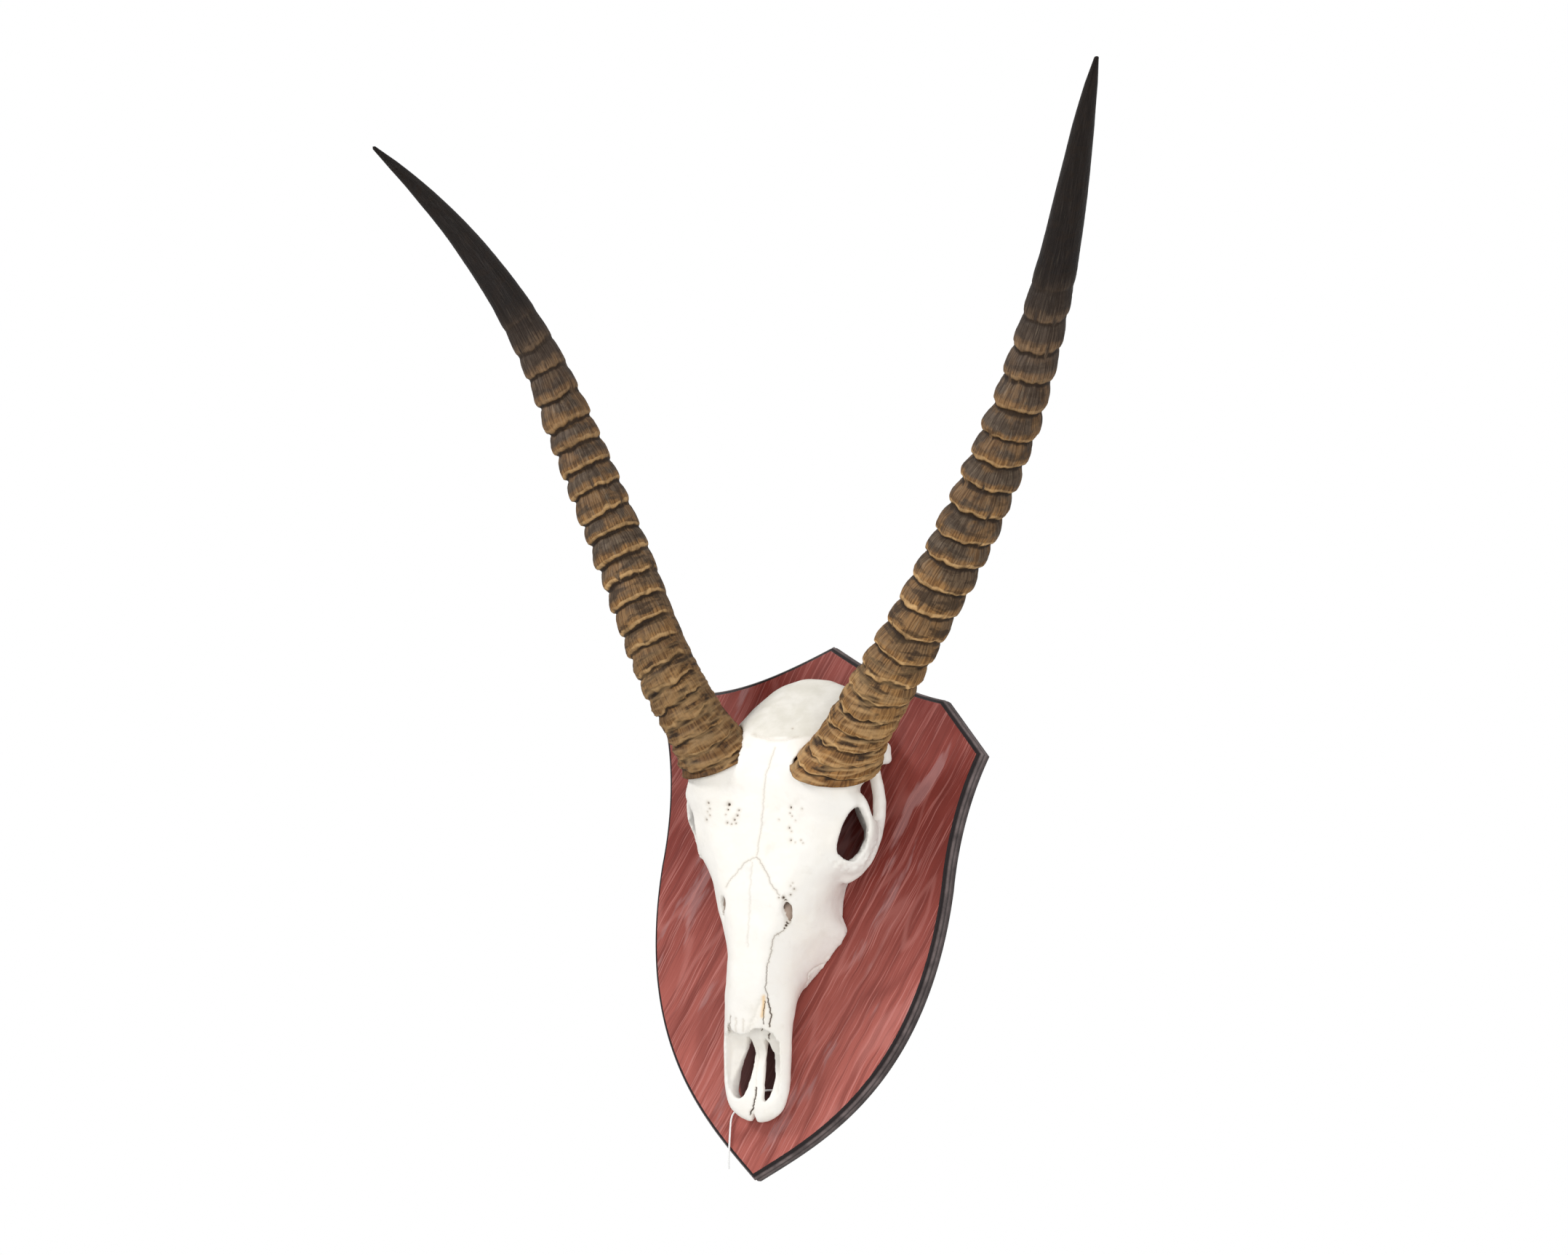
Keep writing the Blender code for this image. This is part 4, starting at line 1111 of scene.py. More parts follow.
def ringed_horn_finish(colours):
    """Horn: grey-brown between golden ridges near the base, near-black towards the tip."""
    material, tree, inputs = new_material("horn", 0.5, 0.18)
    grain = attribute(tree, "grain", "Vector")
    along = attribute(tree, "along")
    wave = attribute(tree, "ring_wave", "Vector")
    show = between(tree, attribute(tree, "ring_show"), 0.05, 0.55)
    wrinkle = parts(tree, wave)[2]
    across = parts(tree, object_place(tree))[0]
    fibres, broad, pale = [mask(tree, "long_fibres", grain, *row) for row in HORN_FIBRES]
    lying = vector_calc(tree, "MULTIPLY", grain, (70.0, 70.0, 190.0))
    blotch = mask(tree, "soft_patches", lying, 1.0, 2.0, 0.50, 0.60)
    broken = mask(tree, "soft_patches", grain, 190.0, 8.0, 0.36, 0.62)
    golden = mask(tree, "soft_patches", grain, 75.0, 6.0, 0.46, 0.60)
    tip = ((0.76, colours.tip), (1.0, colours.tip))
    base_colour = ramp(
        tree, along, (0.0, colours.base), (0.10, colours.low), (0.34, colours.middle), (0.60, colours.high),
        (0.72, colours.tip), (1.0, colours.tip),
    )
    crest_colour = ramp(
        tree, along, (0.0, colours.crest), (0.45, colours.crest), (0.64, colours.crest_high), *tip,
    )
    flush_colour = ramp(
        tree, along, (0.0, colours.gold), (0.45, colours.gold), (0.66, colours.crest_high), *tip,
    )
    gold = golden * (between(tree, along, 0.0, 0.26, 1.0, 0.0) * 0.45 + 0.35)
    gold = gold * between(tree, along, 0.5, 0.65, 1.0, 0.0)
    flush = ring_band(tree, wave, 0.10, 0.14, 0.13) * (show * 0.78) * (broad * 0.5 + 0.5)
    sheen = pale * float_curve(tree, along, PALE_FIBRES)
    # Painted shade in the hollow under each ridge
    under = ring_band(tree, wave, 0.89, 0.06, 0.06) * (show * 0.90)
    crest = ring_band(tree, wave, 0.035, 0.055, 0.045) * show
    thin = between(tree, along, 0.20, 0.60, 0.92, 0.50) * (broken * 0.65 + 0.35)
    left_side = between(tree, across, -0.03, -0.02, 1.0, 0.0)
    colour = layered(tree, base_colour, (gold, colours.gold), (flush, flush_colour))
    colour = blend_colour(tree, fibres * 0.80, colour, colours.fibre, "MULTIPLY")
    colour = layered(
        tree, colour,
        (sheen, colours.pale),
        (blotch * between(tree, along, 0.05, 0.5, 0.85, 0.35), colours.dark_patch_and_shade),
        (under, colours.dark_patch_and_shade),
        (wrinkle * 0.60, crest_colour),
        (crest * thin, crest_colour),
        (left_side * between(tree, along, 0.02, 0.34, 0.42, 0.0), colours.dark_patch_and_shade),
    )
    rough = between(tree, along, 0.5, 0.8, 0.58, 0.40)
    surface(tree, inputs, colour, fibres + broad * 0.8, 0.00022, 0.7, rough)
    return material


def build_horn(name, tree, settings, finish, side, variation):
    """One horn grown round its line by the node tree, as a plain mesh."""
    base_heading = horn_axis()[1][0]
    horn = new_object(name, axis_mesh())
    grow = horn.modifiers.new("ringed_horn", "NODES")
    grow.node_group = tree
    given = {
        "Seat Reach": SEAT_REACH, "Seat Facing": tuple(Vector(SEAT_FACING).normalized()),
        "Base Heading": tuple(base_heading), "Long Side": HORN_LONG, "Short Side": HORN_SHORT,
        "Turn": HORN_TURN, "Variation": variation, "Side": side, "Finish": finish,
    }
    for label in ("Sides", "Steps", "Ring Height", "Ring Tilt", "Ring Wobble", "Fibre Height", "Dent Height"):
        given[label] = getattr(settings, label.lower().replace(" ", "_"))
    for label, value in given.items():
        set_input(grow, label, value)
    horn = settle(horn, name)
    bm = bmesh.new()
    bm.from_mesh(horn.data)
    bmesh.ops.recalc_face_normals(bm, faces=bm.faces)
    bm.to_mesh(horn.data)
    bm.free()
    horn.data.shade_smooth()
    return horn


# Skull

def section_at(rows, height):
    """Skull section at a height, read smoothly between its neighbours."""
    for index in range(len(rows) - 1):
        if height <= rows[index + 1][0]:
            break
    low, high = rows[index], rows[index + 1]
    before = rows[max(index - 1, 0)]
    after = rows[min(index + 2, len(rows) - 1)]
    span = high[0] - low[0]
    t = (height - low[0]) / span
    values = []
    for column in range(1, len(low)):
        slope_low = (high[column] - before[column]) / max(high[0] - before[0], 1e-6) * span
        slope_high = (after[column] - low[column]) / max(after[0] - low[0], 1e-6) * span
        values.append(
            (2 * t ** 3 - 3 * t * t + 1) * low[column] + (t ** 3 - 2 * t * t + t) * slope_low
            + (3 * t * t - 2 * t ** 3) * high[column] + (t ** 3 - t * t) * slope_high
        )
    return values


def skull_ring(values, height, steps, inset=0.0):
    """Closed ring of points of one skull section, pulled in by the bone's wall for its hollow."""
    crown, brow_x, brow_f, side_x, side_f, foot_x, foot_f = values
    corners = [
        (-brow_x, brow_f), (0.0, crown), (brow_x, brow_f), (side_x, side_f), (foot_x, foot_f),
        (foot_x * 2 - side_x, foot_f * 2 - side_f),
    ]
    half = [through(corners, (1 + 3 * step / steps) / (len(corners) - 1)) for step in range(steps + 1)]
    if inset:
        moved = [(0.0, crown - inset)]
        for before, here, after in zip(half, half[1:], half[2:]):
            along = Vector((after[0] - before[0], after[1] - before[1])).normalized()
            moved.append((max(0.0, here[0] + along.y * inset), here[1] - along.x * inset))
        moved.append((max(0.0, foot_x - inset), -2 * BONE_WALL))
        half = moved
    ring = [Vector((x, -BOARD_THICKNESS - f, height - ORIGIN_HEIGHT)) for x, f in half]
    return ring + mirrored(reversed(ring[1:]))


def skull_loft(bm, low, high, pitch, steps, inset=0.0):
    """Skull's outside between two heights, or its hollow where an inset is given."""
    rows = []
    for height, crown, brow, side, foot in SKULL_SECTIONS:
        rows.append([value * MM for value in (height, crown, *brow, *side, *foot)])
    count = max(2, round((high - low) / pitch))
    rings = []
    for index in range(count + 1):
        height = low + (high - low) * index / count
        rings.append(skull_ring(section_at(rows, height), height, steps, inset))
    skin_rings(bm, rings)


def box_hollow(bm, rows):
    """Hollow lofted from rows of height, half width, floor and roof in millimetres."""
    rings = []
    for height, half_width, floor, roof in rows:
        middle = (floor + roof) / 2
        outline = (
            (-half_width, floor), (half_width, floor), (half_width, middle), (0.6 * half_width, roof),
            (-0.6 * half_width, roof), (-half_width, middle),
        )
        rings.append([place_mm((x, forward, height)) for x, forward in outline])
    skin_rings(bm, rings)


def loop_points(points, sign):
    """Smooth closed loop through places in millimetres, on the side given by the sign."""
    wrapped = [points[-1], *points, points[0], points[1]]
    picked = []
    for index in range(len(points) * LOOP_STEPS):
        across, forward, height = through(wrapped, (1 + index / LOOP_STEPS) / (len(points) + 2))
        picked.append(place_mm((sign * across, forward, height)))
    return picked


def socket_place(sign):
    """Edge of an eye socket, its middle and the direction into it."""
    edge = loop_points(SOCKET_EDGE, sign)
    across, forward = SOCKET_FACING
    return edge, sum(edge, Vector()) / len(edge), Vector((-sign * across, forward, 0.0)).normalized()


def socket_cutter(bm, sign):
    """Bowl of an eye socket: its edge, flared outwards in front and narrowing behind."""
    edge, middle, inwards = socket_place(sign)
    across, height = SOCKET_DRIFT
    to_nose = Vector((sign * across, 0.0, height))
    rings = []
    for depth, share, drift in SOCKET_BOWL:
        shift = (inwards * depth + to_nose * drift) * MM
        rings.append([middle.lerp(point, share) + shift for point in edge])
    skin_rings(bm, rings)


def bone_parts(bm, axis):
    """Lofted skull with its sockets' rims, cheek arches, ear knobs and horn seats, still overlapping."""
    skull_loft(bm, SKULL_SECTIONS[0][0] * MM, SKULL_SECTIONS[-1][0] * MM, SECTION_STEP, SECTION_POINTS)
    seat_low = seat_ring(axis, -SEAT_DEPTH, -SEAT_TAPER)
    seat_top = seat_ring(axis, 0.0)
    middle = sum(seat_top, Vector()) / len(seat_top)
    shrink = 1.0 - SEAT_INSET / (HORN_RADIUS[0][1] * MM)
    seat = [seat_low, [middle.lerp(point, shrink) for point in seat_top]]
    for sign in SIDES:
        tube(bm, loop_points(SOCKET_RIM_PATH, sign), SOCKET_RIM, 16, closed=True)
        tube(bm, even_path(CHEEK_ARCH, SECTION_STEP, sign), CHEEK_RADIUS, 16)
        for share in CHEEK_WEB_STEPS:
            places = [Vector(rim).lerp(Vector(far), share) for rim, far in CHEEK_WEB]
            tube(bm, even_path(places, SECTION_STEP, sign), CHEEK_WEB_RADIUS, 12)
        for (x, f, z), radius in EAR_KNOBS:
            ball(bm, place_mm((sign * x, f, z)), (radius * MM,) * 3)
        skin_rings(bm, seat if sign > 0 else [mirrored(ring) for ring in seat])


def grow_together(skull, voxel, smoothing):
    """Remesh the bone as one skin and smooth it."""
    remesh = skull.modifiers.new("grown_together", "REMESH")
    remesh.mode = "VOXEL"
    remesh.voxel_size = voxel
    smooth = skull.modifiers.new("weathered", "SMOOTH")
    smooth.factor = 0.5
    smooth.iterations = smoothing


def skull_openings(axis):
    """What is cut out of the bone or added to it, in turn: name, solid and operation."""
    names = (
        "brain_hollow", "nose_hollow", "palate_hollow", "nose_edge", "openings", "scroll_bones", "sockets",
        "horn_seats", "flat_underside",
    )
    solids = {name: bmesh.new() for name in names}
    skull_loft(solids["brain_hollow"], *HOLLOW_ENDS, HOLLOW_STEP, HOLLOW_POINTS, BONE_WALL)
    box_hollow(solids["nose_hollow"], NOSE_HOLLOW)
    box_hollow(solids["palate_hollow"], PALATE_HOLLOW)
    prism(solids["nose_edge"], NOSE_EDGE, NOSE_EDGE_DEPTHS)
    slit = [*SNOUT_SLIT, *[(-x, z) for x, z in reversed(SNOUT_SLIT)]]
    prism(solids["openings"], slit, SNOUT_SLIT_DEPTHS)
    for outline in SLOT_OUTLINES:
        prism(solids["openings"], outline, SLOT_DEPTHS)
    for sign in SIDES:
        prism(solids["openings"], [(sign * x, z) for x, z in FISSURE_OUTLINE], FISSURE_DEPTHS)
        across, forward, height = SCROLL_BONE
        ball(solids["scroll_bones"], place_mm((sign * across, forward, height)), SCROLL_BONE_HALF)
        socket_cutter(solids["sockets"], sign)
    clear = [seat_ring(axis, arc, SEAT_CLEARANCE) for arc in SEAT_CLEAR_ARCS]
    skin_rings(solids["horn_seats"], clear)
    skin_rings(solids["horn_seats"], [mirrored(ring) for ring in clear])
    wide, tall = BOARD_WING[0] / MM, BOARD_HEIGHT / MM
    under = [(-wide, 0), (wide, 0), (wide, tall), (-wide, tall)]
    prism(solids["flat_underside"], under, (GAP, -4 * BONE_WALL))
    return [(name, bm, "UNION" if name == "scroll_bones" else "DIFFERENCE") for name, bm in solids.items()]


def skull_form(voxel):
    """Smooth closed bone shell, before its seams and small holes."""
    axis = horn_axis()
    bm = bmesh.new()
    bone_parts(bm, axis)
    skull = link_mesh("skull_form", bm)
    grow_together(skull, voxel, 14)
    for opening in skull_openings(axis):
        cut(skull, *opening)
    grow_together(skull, voxel, 3)
    return settle(skull, "bleached_skull")


def along_pixels(tree, pixels):
    """Close points along a line of pixels, on the bone."""
    corners = [point for point in (seen_on(tree, pixel) for pixel in pixels) if point]
    points = []
    for before, after in zip(corners, corners[1:]):
        count = max(1, int((after - before).length / SEAM_SAMPLE))
        points += [before.lerp(after, index / count) for index in range(count)]
    return points


def seam_marks(tree, settings):
    """Point, radius, depth, darkness and stain of every seam and hole; the seams wander a little."""
    noise.seed_set(SEAM_SEED)
    marks = []
    for pixels, width, depth, dark, stain in SEAMS:
        for point in along_pixels(tree, pixels):
            wander = sum((noise.noise_vector(point * waves) for waves in SEAM_WAVES), Vector())
            place = tree.find_nearest(point + wander * SEAM_JITTER)[0]
            marks.append((place, width * MM, depth * MM * settings.seam_depth, dark, stain))
    for pixel, radius, depth, dark in PITS:
        point = seen_on(tree, pixel)
        if point:
            marks.append((point, radius * MM, depth * MM, dark, PIT_STAIN))
    return marks


def point_finder(points):
    """Tree that finds the nearest of the points."""
    finder = KDTree(len(points))
    for index, point in enumerate(points):
        finder.insert(point, index)
    finder.balance()
    return finder


def edges_near(bm, finder, reach):
    """Edges, in a fixed order, of the faces whose middle lies within reach of a marked point."""
    edges = {}
    for face in bm.faces:
        if finder.find(face.calc_center_median())[2] < reach:
            edges.update(dict.fromkeys(face.edges))
    return list(edges)


def bone_relief(place, sockets):
    """How far the bone stands out of its smooth form: broad waves, and two ragged places."""
    height = (place.z + ORIGIN_HEIGHT) / MM
    forward = (-place.y - BOARD_THICKNESS) / MM
    if forward < FLAT_FORWARD:
        return 0.0
    shift = sum(noise.noise(place * waves) * rise for waves, rise in BONE_WAVES) * MM
    low, high = RAGGED_FOOT_HEIGHTS
    if forward < RAGGED_FOOT_FORWARD and low < height < high:
        waves, rise = RAGGED_FOOT_WAVE
        shift += noise.noise(place * waves) * rise * MM * (1.0 - forward / RAGGED_FOOT_FORWARD)
    for _, middle, inwards in sockets:
        from_middle = place - middle
        if from_middle.dot(inwards) > SOCKET_RAGGED_FROM and from_middle.length < SOCKET_RAGGED_REACH:
            shift += noise.noise(place * SOCKET_RAGGED_WAVES) * SOCKET_RAGGED
    return shift


def in_scroll_bone(place):
    """Whether a point lies on the scrolled bone inside the nose."""
    across, forward, height = (value * MM for value in SCROLL_BONE)
    offsets = (abs(place.x) - across, -place.y - BOARD_THICKNESS - forward, place.z + ORIGIN_HEIGHT - height)
    shares = [offset / half for offset, half in zip(offsets, SCROLL_BONE_HALF)]
    return Vector(shares).length < SCROLL_MARGIN


def carve_skull(skull, settings):
    """Seams, small holes and uneven bone, carved into the mesh, with masks for their colour."""
    bm = bmesh.new()
    bm.from_mesh(skull.data)
    tree = BVHTree.FromBMesh(bm)
    marks = seam_marks(tree, settings)
    finder = point_finder([mark[0] for mark in marks])
    yellow_finder = point_finder(along_pixels(tree, YELLOW_LINE))
    for reach in SEAM_FINE_REACHES:
        bmesh.ops.subdivide_edges(bm, edges=edges_near(bm, finder, reach), cuts=1, use_grid_fill=True)
    bm.normal_update()
    sockets = [socket_place(sign) for sign in SIDES]
    crack, stained, scroll, yellow = [
        bm.verts.layers.float.new(name) for name in ("crack", "stain", "scroll", "yellow")
    ]
    moves = []
    for vert in bm.verts:
        _, index, distance = finder.find(vert.co)
        _, width, depth, dark, stain = marks[index]
        groove = math.exp(-((distance / width) ** 2))
        yellow_distance = yellow_finder.find(vert.co)[2]
        vert[crack] = groove * dark
        vert[stained] = stain * math.exp(-((distance / (STAIN_SPREAD * width)) ** 2))
        vert[scroll] = 1.0 if in_scroll_bone(vert.co) else 0.0
        vert[yellow] = math.exp(-((yellow_distance / (YELLOW_RADIUS * MM)) ** 2))
        moves.append(vert.normal * (bone_relief(vert.co, sockets) - depth * groove))
    for vert, move in zip(bm.verts, moves):
        vert.co += move
    bmesh.ops.triangulate(bm, faces=[face for face in bm.faces if len(face.verts) > 4])
    bm.to_mesh(skull.data)
    bm.free()
    skull.data.shade_smooth()


def bleached_bone(colours):
    """Dry bleached bone: chalk-white, greyer on the vault by painted shade, with tan in the seams and holes.
    """
    material, tree, inputs = new_material("bleached_bone", 0.55, 0.3)
    coordinates = object_place(tree)
    across, _, height = parts(tree, coordinates)
    clouds = mask(tree, "soft_patches", coordinates, 38.0, 1.0, 0.42, 0.70)
    stain = mask(tree, "soft_patches", coordinates, 85.0, 5.0, 0.56, 0.76)
    beside = calc(tree, "MAXIMUM", calc(tree, "ABSOLUTE", across) - VAULT_FLAT_HALF, 0.0)
    # Painted shade, mottled, on the vault behind the horns
    vault_shade = between(tree, height - beside * VAULT_FALL + clouds * 0.002, *VAULT_LINE)
    mottle = between(tree, noise_value(tree, coordinates, 80.0, 4.0, 0.55, 3.0), 0.34, 0.66, 0.50, 1.0)
    crack = between(tree, attribute(tree, "crack"), 0.10, 0.80, 0.0, 0.95)
    colour = layered(
        tree, colours.bone,
        (clouds * 0.5, colours.warm),
        (stain * 0.16, colours.stain),
        (vault_shade * mottle, colours.vault_shade),
        (attribute(tree, "scroll"), colours.scroll),
        (attribute(tree, "stain") * 0.55, colours.stain),
        (attribute(tree, "yellow") * 0.75, colours.yellow),
        (crack, colours.crack),
    )
    pores = noise_value(tree, coordinates, 1900.0, 2.0, 0.6)
    grain = noise_value(tree, coordinates, 520.0, 4.0, 0.6)
    hollows = noise_value(tree, coordinates, 75.0, 2.0, 0.5)
    rough = between(tree, grain, 0.3, 0.7, 0.48, 0.66)
    surface(tree, inputs, colour, grain + pores * 0.35 + hollows * 7.0, 0.0003, 0.40, rough)
    return material


# Thread

def build_thread(settings):
    """White cotton thread from under the snout down over the board's edge, its start and its length."""
    points = even_path(THREAD_ROUTE, THREAD_STEP)
    curve = bpy.data.curves.new("cotton_thread", "CURVE")
    curve.dimensions = "3D"
    curve.bevel_depth = settings.diameter / 2
    curve.bevel_resolution = 3
    curve.use_fill_caps = True
    spline = curve.splines.new("POLY")
    spline.points.add(len(points) - 1)
    for knot, point in zip(spline.points, points):
        knot.co = (*point, 1.0)
    thread = new_object("cotton_thread", curve)
    set_finish(thread, cotton(settings))
    return thread, points[0], path_length(points)


def cotton(settings):
    """Twisted white cotton."""
    material, tree, inputs = new_material("white_thread", 0.85)
    twist = mask(tree, "soft_patches", object_place(tree), 900.0, 0.0, 0.35, 0.65)
    colour = blend_colour(tree, twist, [value * 0.9 for value in settings.cotton], settings.cotton)
    surface(tree, inputs, colour, twist, 0.00015, 0.8)
    return material


# Stage

def build_camera():
    """Camera at the photograph's viewing angle."""
    eye, right, up, back = camera_axes()
    lens = bpy.data.cameras.new("photograph_view")
    lens.sensor_width = SENSOR_WIDTH
    lens.lens = CAMERA_FOCUS_PIXELS * SENSOR_WIDTH / PHOTO_SIZE[0]
    camera = new_object("photograph_view", lens)
    rows = [(right[axis], up[axis], back[axis], eye[axis]) for axis in range(3)]
    camera.matrix_world = Matrix((*rows, (0.0, 0.0, 0.0, 1.0)))
    bpy.context.scene.camera = camera


def add_light(name, place, aim, size, watts):
    """Soft square light that faces a point."""
    light = bpy.data.lights.new(name, "AREA")
    light.size = size
    light.energy = watts
    lamp = new_object(name, light)
    lamp.location = place
    lamp.rotation_euler = (Vector(aim) - Vector(place)).to_track_quat("-Z", "Y").to_euler()


def build_stage(settings):
    """Pale floor, white surroundings and soft lights."""
    bm = bmesh.new()
    bmesh.ops.create_grid(bm, x_segments=2, y_segments=2, size=FLOOR_HALF)
    bmesh.ops.translate(bm, verts=bm.verts, vec=(0.0, 0.0, settings.floor_height))
    floor = link_mesh("floor", bm, recalc=False)
    pale, _, inputs = new_material("pale_floor", 0.8)
    inputs["Base Color"].default_value = (*settings.floor, 1.0)
    set_finish(floor, pale)
    world = bpy.data.worlds.new("white_room")
    bpy.context.scene.world = world
    world.use_nodes = True
    tree = world.node_tree
    background = tree.nodes["Background"].inputs
    background["Color"].default_value = (1.0, 1.0, 1.0, 1.0)
    direct = tree.nodes.new("ShaderNodeLightPath").outputs["Is Camera Ray"]
    strength = between(tree, direct, 0.0, 1.0, settings.room_light, 1.0, smooth=False)
    feed(tree, strength, background["Strength"])
    for name, place, aim, size in LIGHTS:
        add_light(name, place, aim, size, getattr(settings, name))
    bpy.context.scene.view_settings.view_transform = "Standard"


# Settings

def colour_property(name, description, default):
    """Colour that a user can change."""
    return FloatVectorProperty(
        name=name, description=description, default=default, size=3, subtype="COLOR", min=0.0, max=1.0,
    )


def number_property(name, description, default, unit="NONE"):
    """Number that a user can change."""
    return FloatProperty(name=name, description=description, default=default, unit=unit)


class MOUNT_PG_board(bpy.types.PropertyGroup):
    stain: colour_property("Stain", "Red stain of the board", (0.400, 0.110, 0.088))
    stain_deep: colour_property("Deep stain", "Stain in the deeper-coloured areas", (0.190, 0.029, 0.021))
    stain_dark: colour_property("Dark stain", "Stain in the dense growth rings", (0.150, 0.028, 0.022))
    streak: colour_property("Streak", "Pale streaks of the grain", (0.60, 0.245, 0.215))
    faded: colour_property("Faded patch", "Mauve-grey faded wood", (0.36, 0.190, 0.185))
    # The edge colour is also used for the painted shade on the board under the snout
    edge: colour_property("Edge", "Dark paint of the routed edge", (0.012, 0.009, 0.010))
    # Rubbed paint and painted highlight on the edge's beads
    edge_rubbed_and_highlight: colour_property("Worn edge", "Edge where the paint is rubbed", (0.210, 0.165, 0.160))


class MOUNT_PG_skull(bpy.types.PropertyGroup):
    voxel: number_property("Fineness", "Mesh size of the bone", 0.00137, "LENGTH")
    seam_depth: number_property("Seam depth", "Depth of the seams, as a factor", 1.0)
    bone: colour_property("Bone", "Bleached bone", (0.90, 0.872, 0.822))
    warm: colour_property("Warm bone", "Slightly yellower bone", (0.89, 0.84, 0.75))
    # Grey of the painted shade on the vault
    vault_shade: colour_property("Vault", "Thin bone of the brain case", (0.72, 0.69, 0.61))
    stain: colour_property("Stain", "Tan stain round seams and holes", (0.56, 0.49, 0.40))
    scroll: colour_property("Scroll bone", "Brown bone inside the nose", (0.42, 0.32, 0.26))
    yellow: colour_property("Yellow", "Yellowed bone beside the nose", (0.80, 0.52, 0.22))
    crack: colour_property("Crack", "Dark bottom of seams and holes", (0.10, 0.065, 0.045))


class MOUNT_PG_horns(bpy.types.PropertyGroup):
    sides: IntProperty(name="Sides", description="Points round the horn", default=130, min=12)
    steps: IntProperty(name="Steps", description="Rings of points along the horn", default=740, min=30)
    ring_height: number_property("Ring height", "How far a ridge stands out", 0.0036, "LENGTH")
    ring_tilt: number_property("Ring tilt", "How far the ridges drop in front", 0.20)
    ring_wobble: number_property("Ring wobble", "How unevenly the ridges run", 0.34)
    fibre_height: number_property("Fibre height", "Relief of the long fibres", 0.00022, "LENGTH")
    dent_height: number_property("Dent height", "Relief of dents and chips", 0.0006, "LENGTH")
    base: colour_property("Base", "Horn at the skull", (0.235, 0.108, 0.031))
    low: colour_property("Low", "Horn above the base", (0.262, 0.146, 0.058))
    middle: colour_property("Middle", "Horn between the middle ridges", (0.118, 0.082, 0.053))
    high: colour_property("High", "Horn between the upper ridges", (0.092, 0.064, 0.045))
    tip: colour_property("Tip", "Horn at the tips", (0.017, 0.012, 0.010))
    gold: colour_property("Gold", "Golden-brown flush beside the ridges", (0.390, 0.200, 0.064))
    crest: colour_property("Crest", "Edge of the ridges", (0.64, 0.40, 0.18))
    crest_high: colour_property("High crest", "Edge of the upper ridges", (0.250, 0.155, 0.084))
    fibre: colour_property("Fibre", "Shade of the long fibres", (0.36, 0.30, 0.26))
    pale: colour_property("Pale fibre", "Bleached fibres", (0.270, 0.215, 0.150))
    # Dark patches on the horn, and the painted shade under the ridges
    dark_patch_and_shade: colour_property("Dark patch", "Dark horn under the ridges", (0.020, 0.011, 0.006))


class MOUNT_PG_thread(bpy.types.PropertyGroup):
    diameter: number_property("Diameter", "Thickness of the thread", 0.0012, "LENGTH")
    cotton: colour_property("Cotton", "White thread", (0.98, 0.98, 0.97))


class MOUNT_PG_stage(bpy.types.PropertyGroup):
    floor_height: number_property("Floor height", "Height of the floor", -0.60, "LENGTH")
    floor: colour_property("Floor", "Pale floor", (0.80, 0.80, 0.79))
    room_light: number_property("Room light", "Even light from all round", 0.42)
    main_light: number_property("Main light", "Watts of the light at the upper left", 27.0)
    side_light: number_property("Side light", "Watts of the light at the right", 17.0)
    low_light: number_property("Low light", "Watts of the light below", 5.0)
    top_light: number_property("Top light", "Watts of the light above", 6.0)


# Operators

def finish_piece(piece, node):
    """Hang a finished piece on the root body and hide the solid that it stands for."""
    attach(piece, "root")
    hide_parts(node)


class MOUNT_OT_stage(bpy.types.Operator):
    """Set up the camera, the floor and the lights"""
    bl_idname = "mount.stage"
    bl_label = "Stage"

    def execute(self, context):
        build_camera()
        build_stage(context.scene.mount_stage)
        return {"FINISHED"}


class MOUNT_OT_thread(bpy.types.Operator):
    """Lay the tie thread"""
    bl_idname = "mount.thread"
    bl_label = "Thread"

    def execute(self, context):
        settings = context.scene.mount_thread
        thread, start, length = build_thread(settings)
        finish_piece(thread, "tie_thread")
        return {"FINISHED"}


class MOUNT_OT_board(bpy.types.Operator):
    """Rout and stain the board"""
    bl_idname = "mount.board"
    bl_label = "Board"

    def execute(self, context):
        finish_piece(build_board(context.scene.mount_board), "plaque")
        return {"FINISHED"}


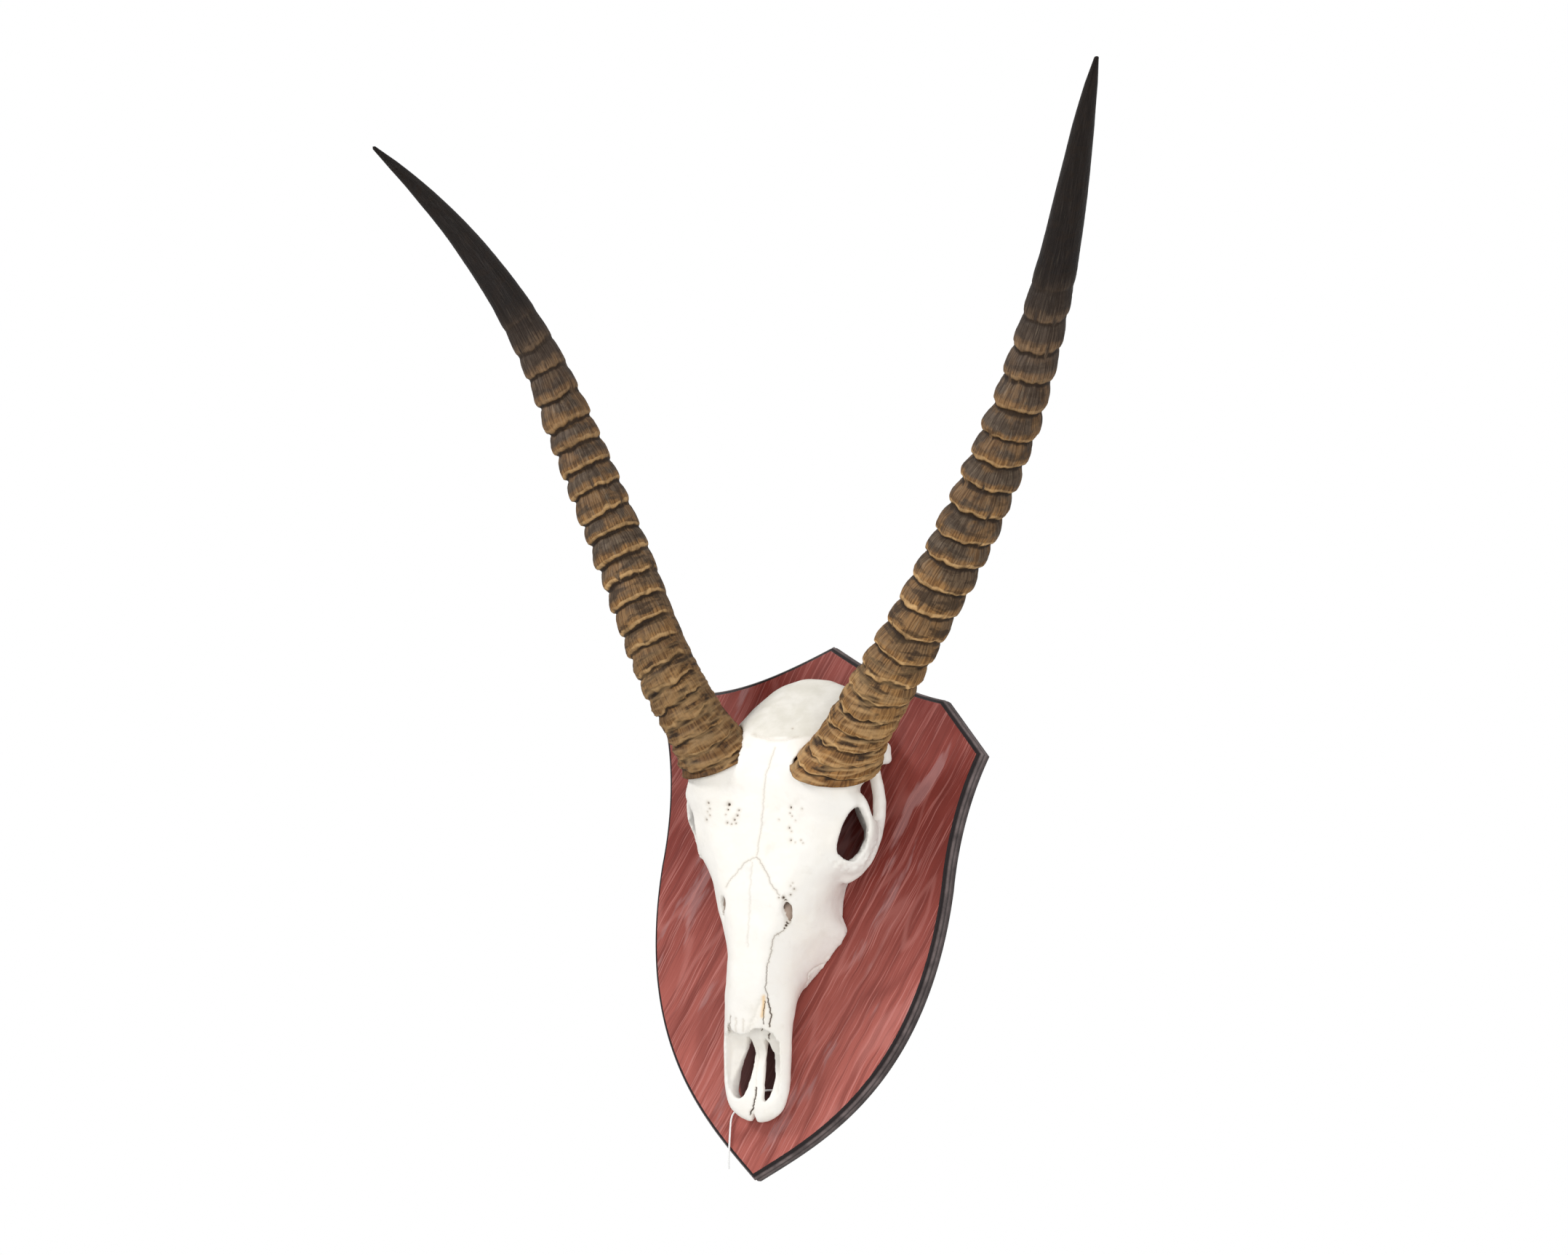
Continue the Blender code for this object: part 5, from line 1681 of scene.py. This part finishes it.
class MOUNT_OT_skull(bpy.types.Operator):
    """Grow and carve the skull"""
    bl_idname = "mount.skull"
    bl_label = "Skull"

    def execute(self, context):
        settings = context.scene.mount_skull
        skull = skull_form(settings.voxel)
        carve_skull(skull, settings)
        set_finish(skull, bleached_bone(settings))
        finish_piece(skull, "skull")
        return {"FINISHED"}


class MOUNT_OT_horns(bpy.types.Operator):
    """Grow both horns"""
    bl_idname = "mount.horns"
    bl_label = "Horns"

    def execute(self, context):
        settings = context.scene.mount_horns
        finish = ringed_horn_finish(settings)
        tree = horn_tree()
        for name, node, side, variation in HORNS:
            finish_piece(build_horn(name, tree, settings, finish, side, variation), node)
        return {"FINISHED"}


class MOUNT_PT_panel(bpy.types.Panel):
    """Settings and steps of the mount"""
    bl_idname = "MOUNT_PT_panel"
    bl_label = "Mounted horns"
    bl_space_type = "VIEW_3D"
    bl_region_type = "UI"
    bl_category = "Mount"

    def draw(self, context):
        for operator, group in STEPS:
            box = self.layout.box()
            box.operator(operator.bl_idname)
            settings = getattr(context.scene, group)
            for name in settings.bl_rna.properties.keys():
                if name not in {"rna_type", "name"}:
                    box.prop(settings, name)


STEPS = (
    (MOUNT_OT_stage, "mount_stage"),
    (MOUNT_OT_thread, "mount_thread"),
    (MOUNT_OT_board, "mount_board"),
    (MOUNT_OT_skull, "mount_skull"),
    (MOUNT_OT_horns, "mount_horns"),
)
GROUPS = {
    "mount_stage": MOUNT_PG_stage,
    "mount_thread": MOUNT_PG_thread,
    "mount_board": MOUNT_PG_board,
    "mount_skull": MOUNT_PG_skull,
    "mount_horns": MOUNT_PG_horns,
}


def register():
    for group in GROUPS.values():
        bpy.utils.register_class(group)
    for name, group in GROUPS.items():
        setattr(bpy.types.Scene, name, PointerProperty(type=group))
    for operator, _ in STEPS:
        bpy.utils.register_class(operator)
    bpy.utils.register_class(MOUNT_PT_panel)


def unregister():
    bpy.utils.unregister_class(MOUNT_PT_panel)
    for operator, _ in reversed(STEPS):
        bpy.utils.unregister_class(operator)
    for name, group in GROUPS.items():
        delattr(bpy.types.Scene, name)
        bpy.utils.unregister_class(group)


def main():
    register()
    for operator, _ in STEPS:
        namespace, step = operator.bl_idname.split(".")
        getattr(getattr(bpy.ops, namespace), step)()
    bpy.context.view_layer.update()


if __name__ == "__main__":
    main()
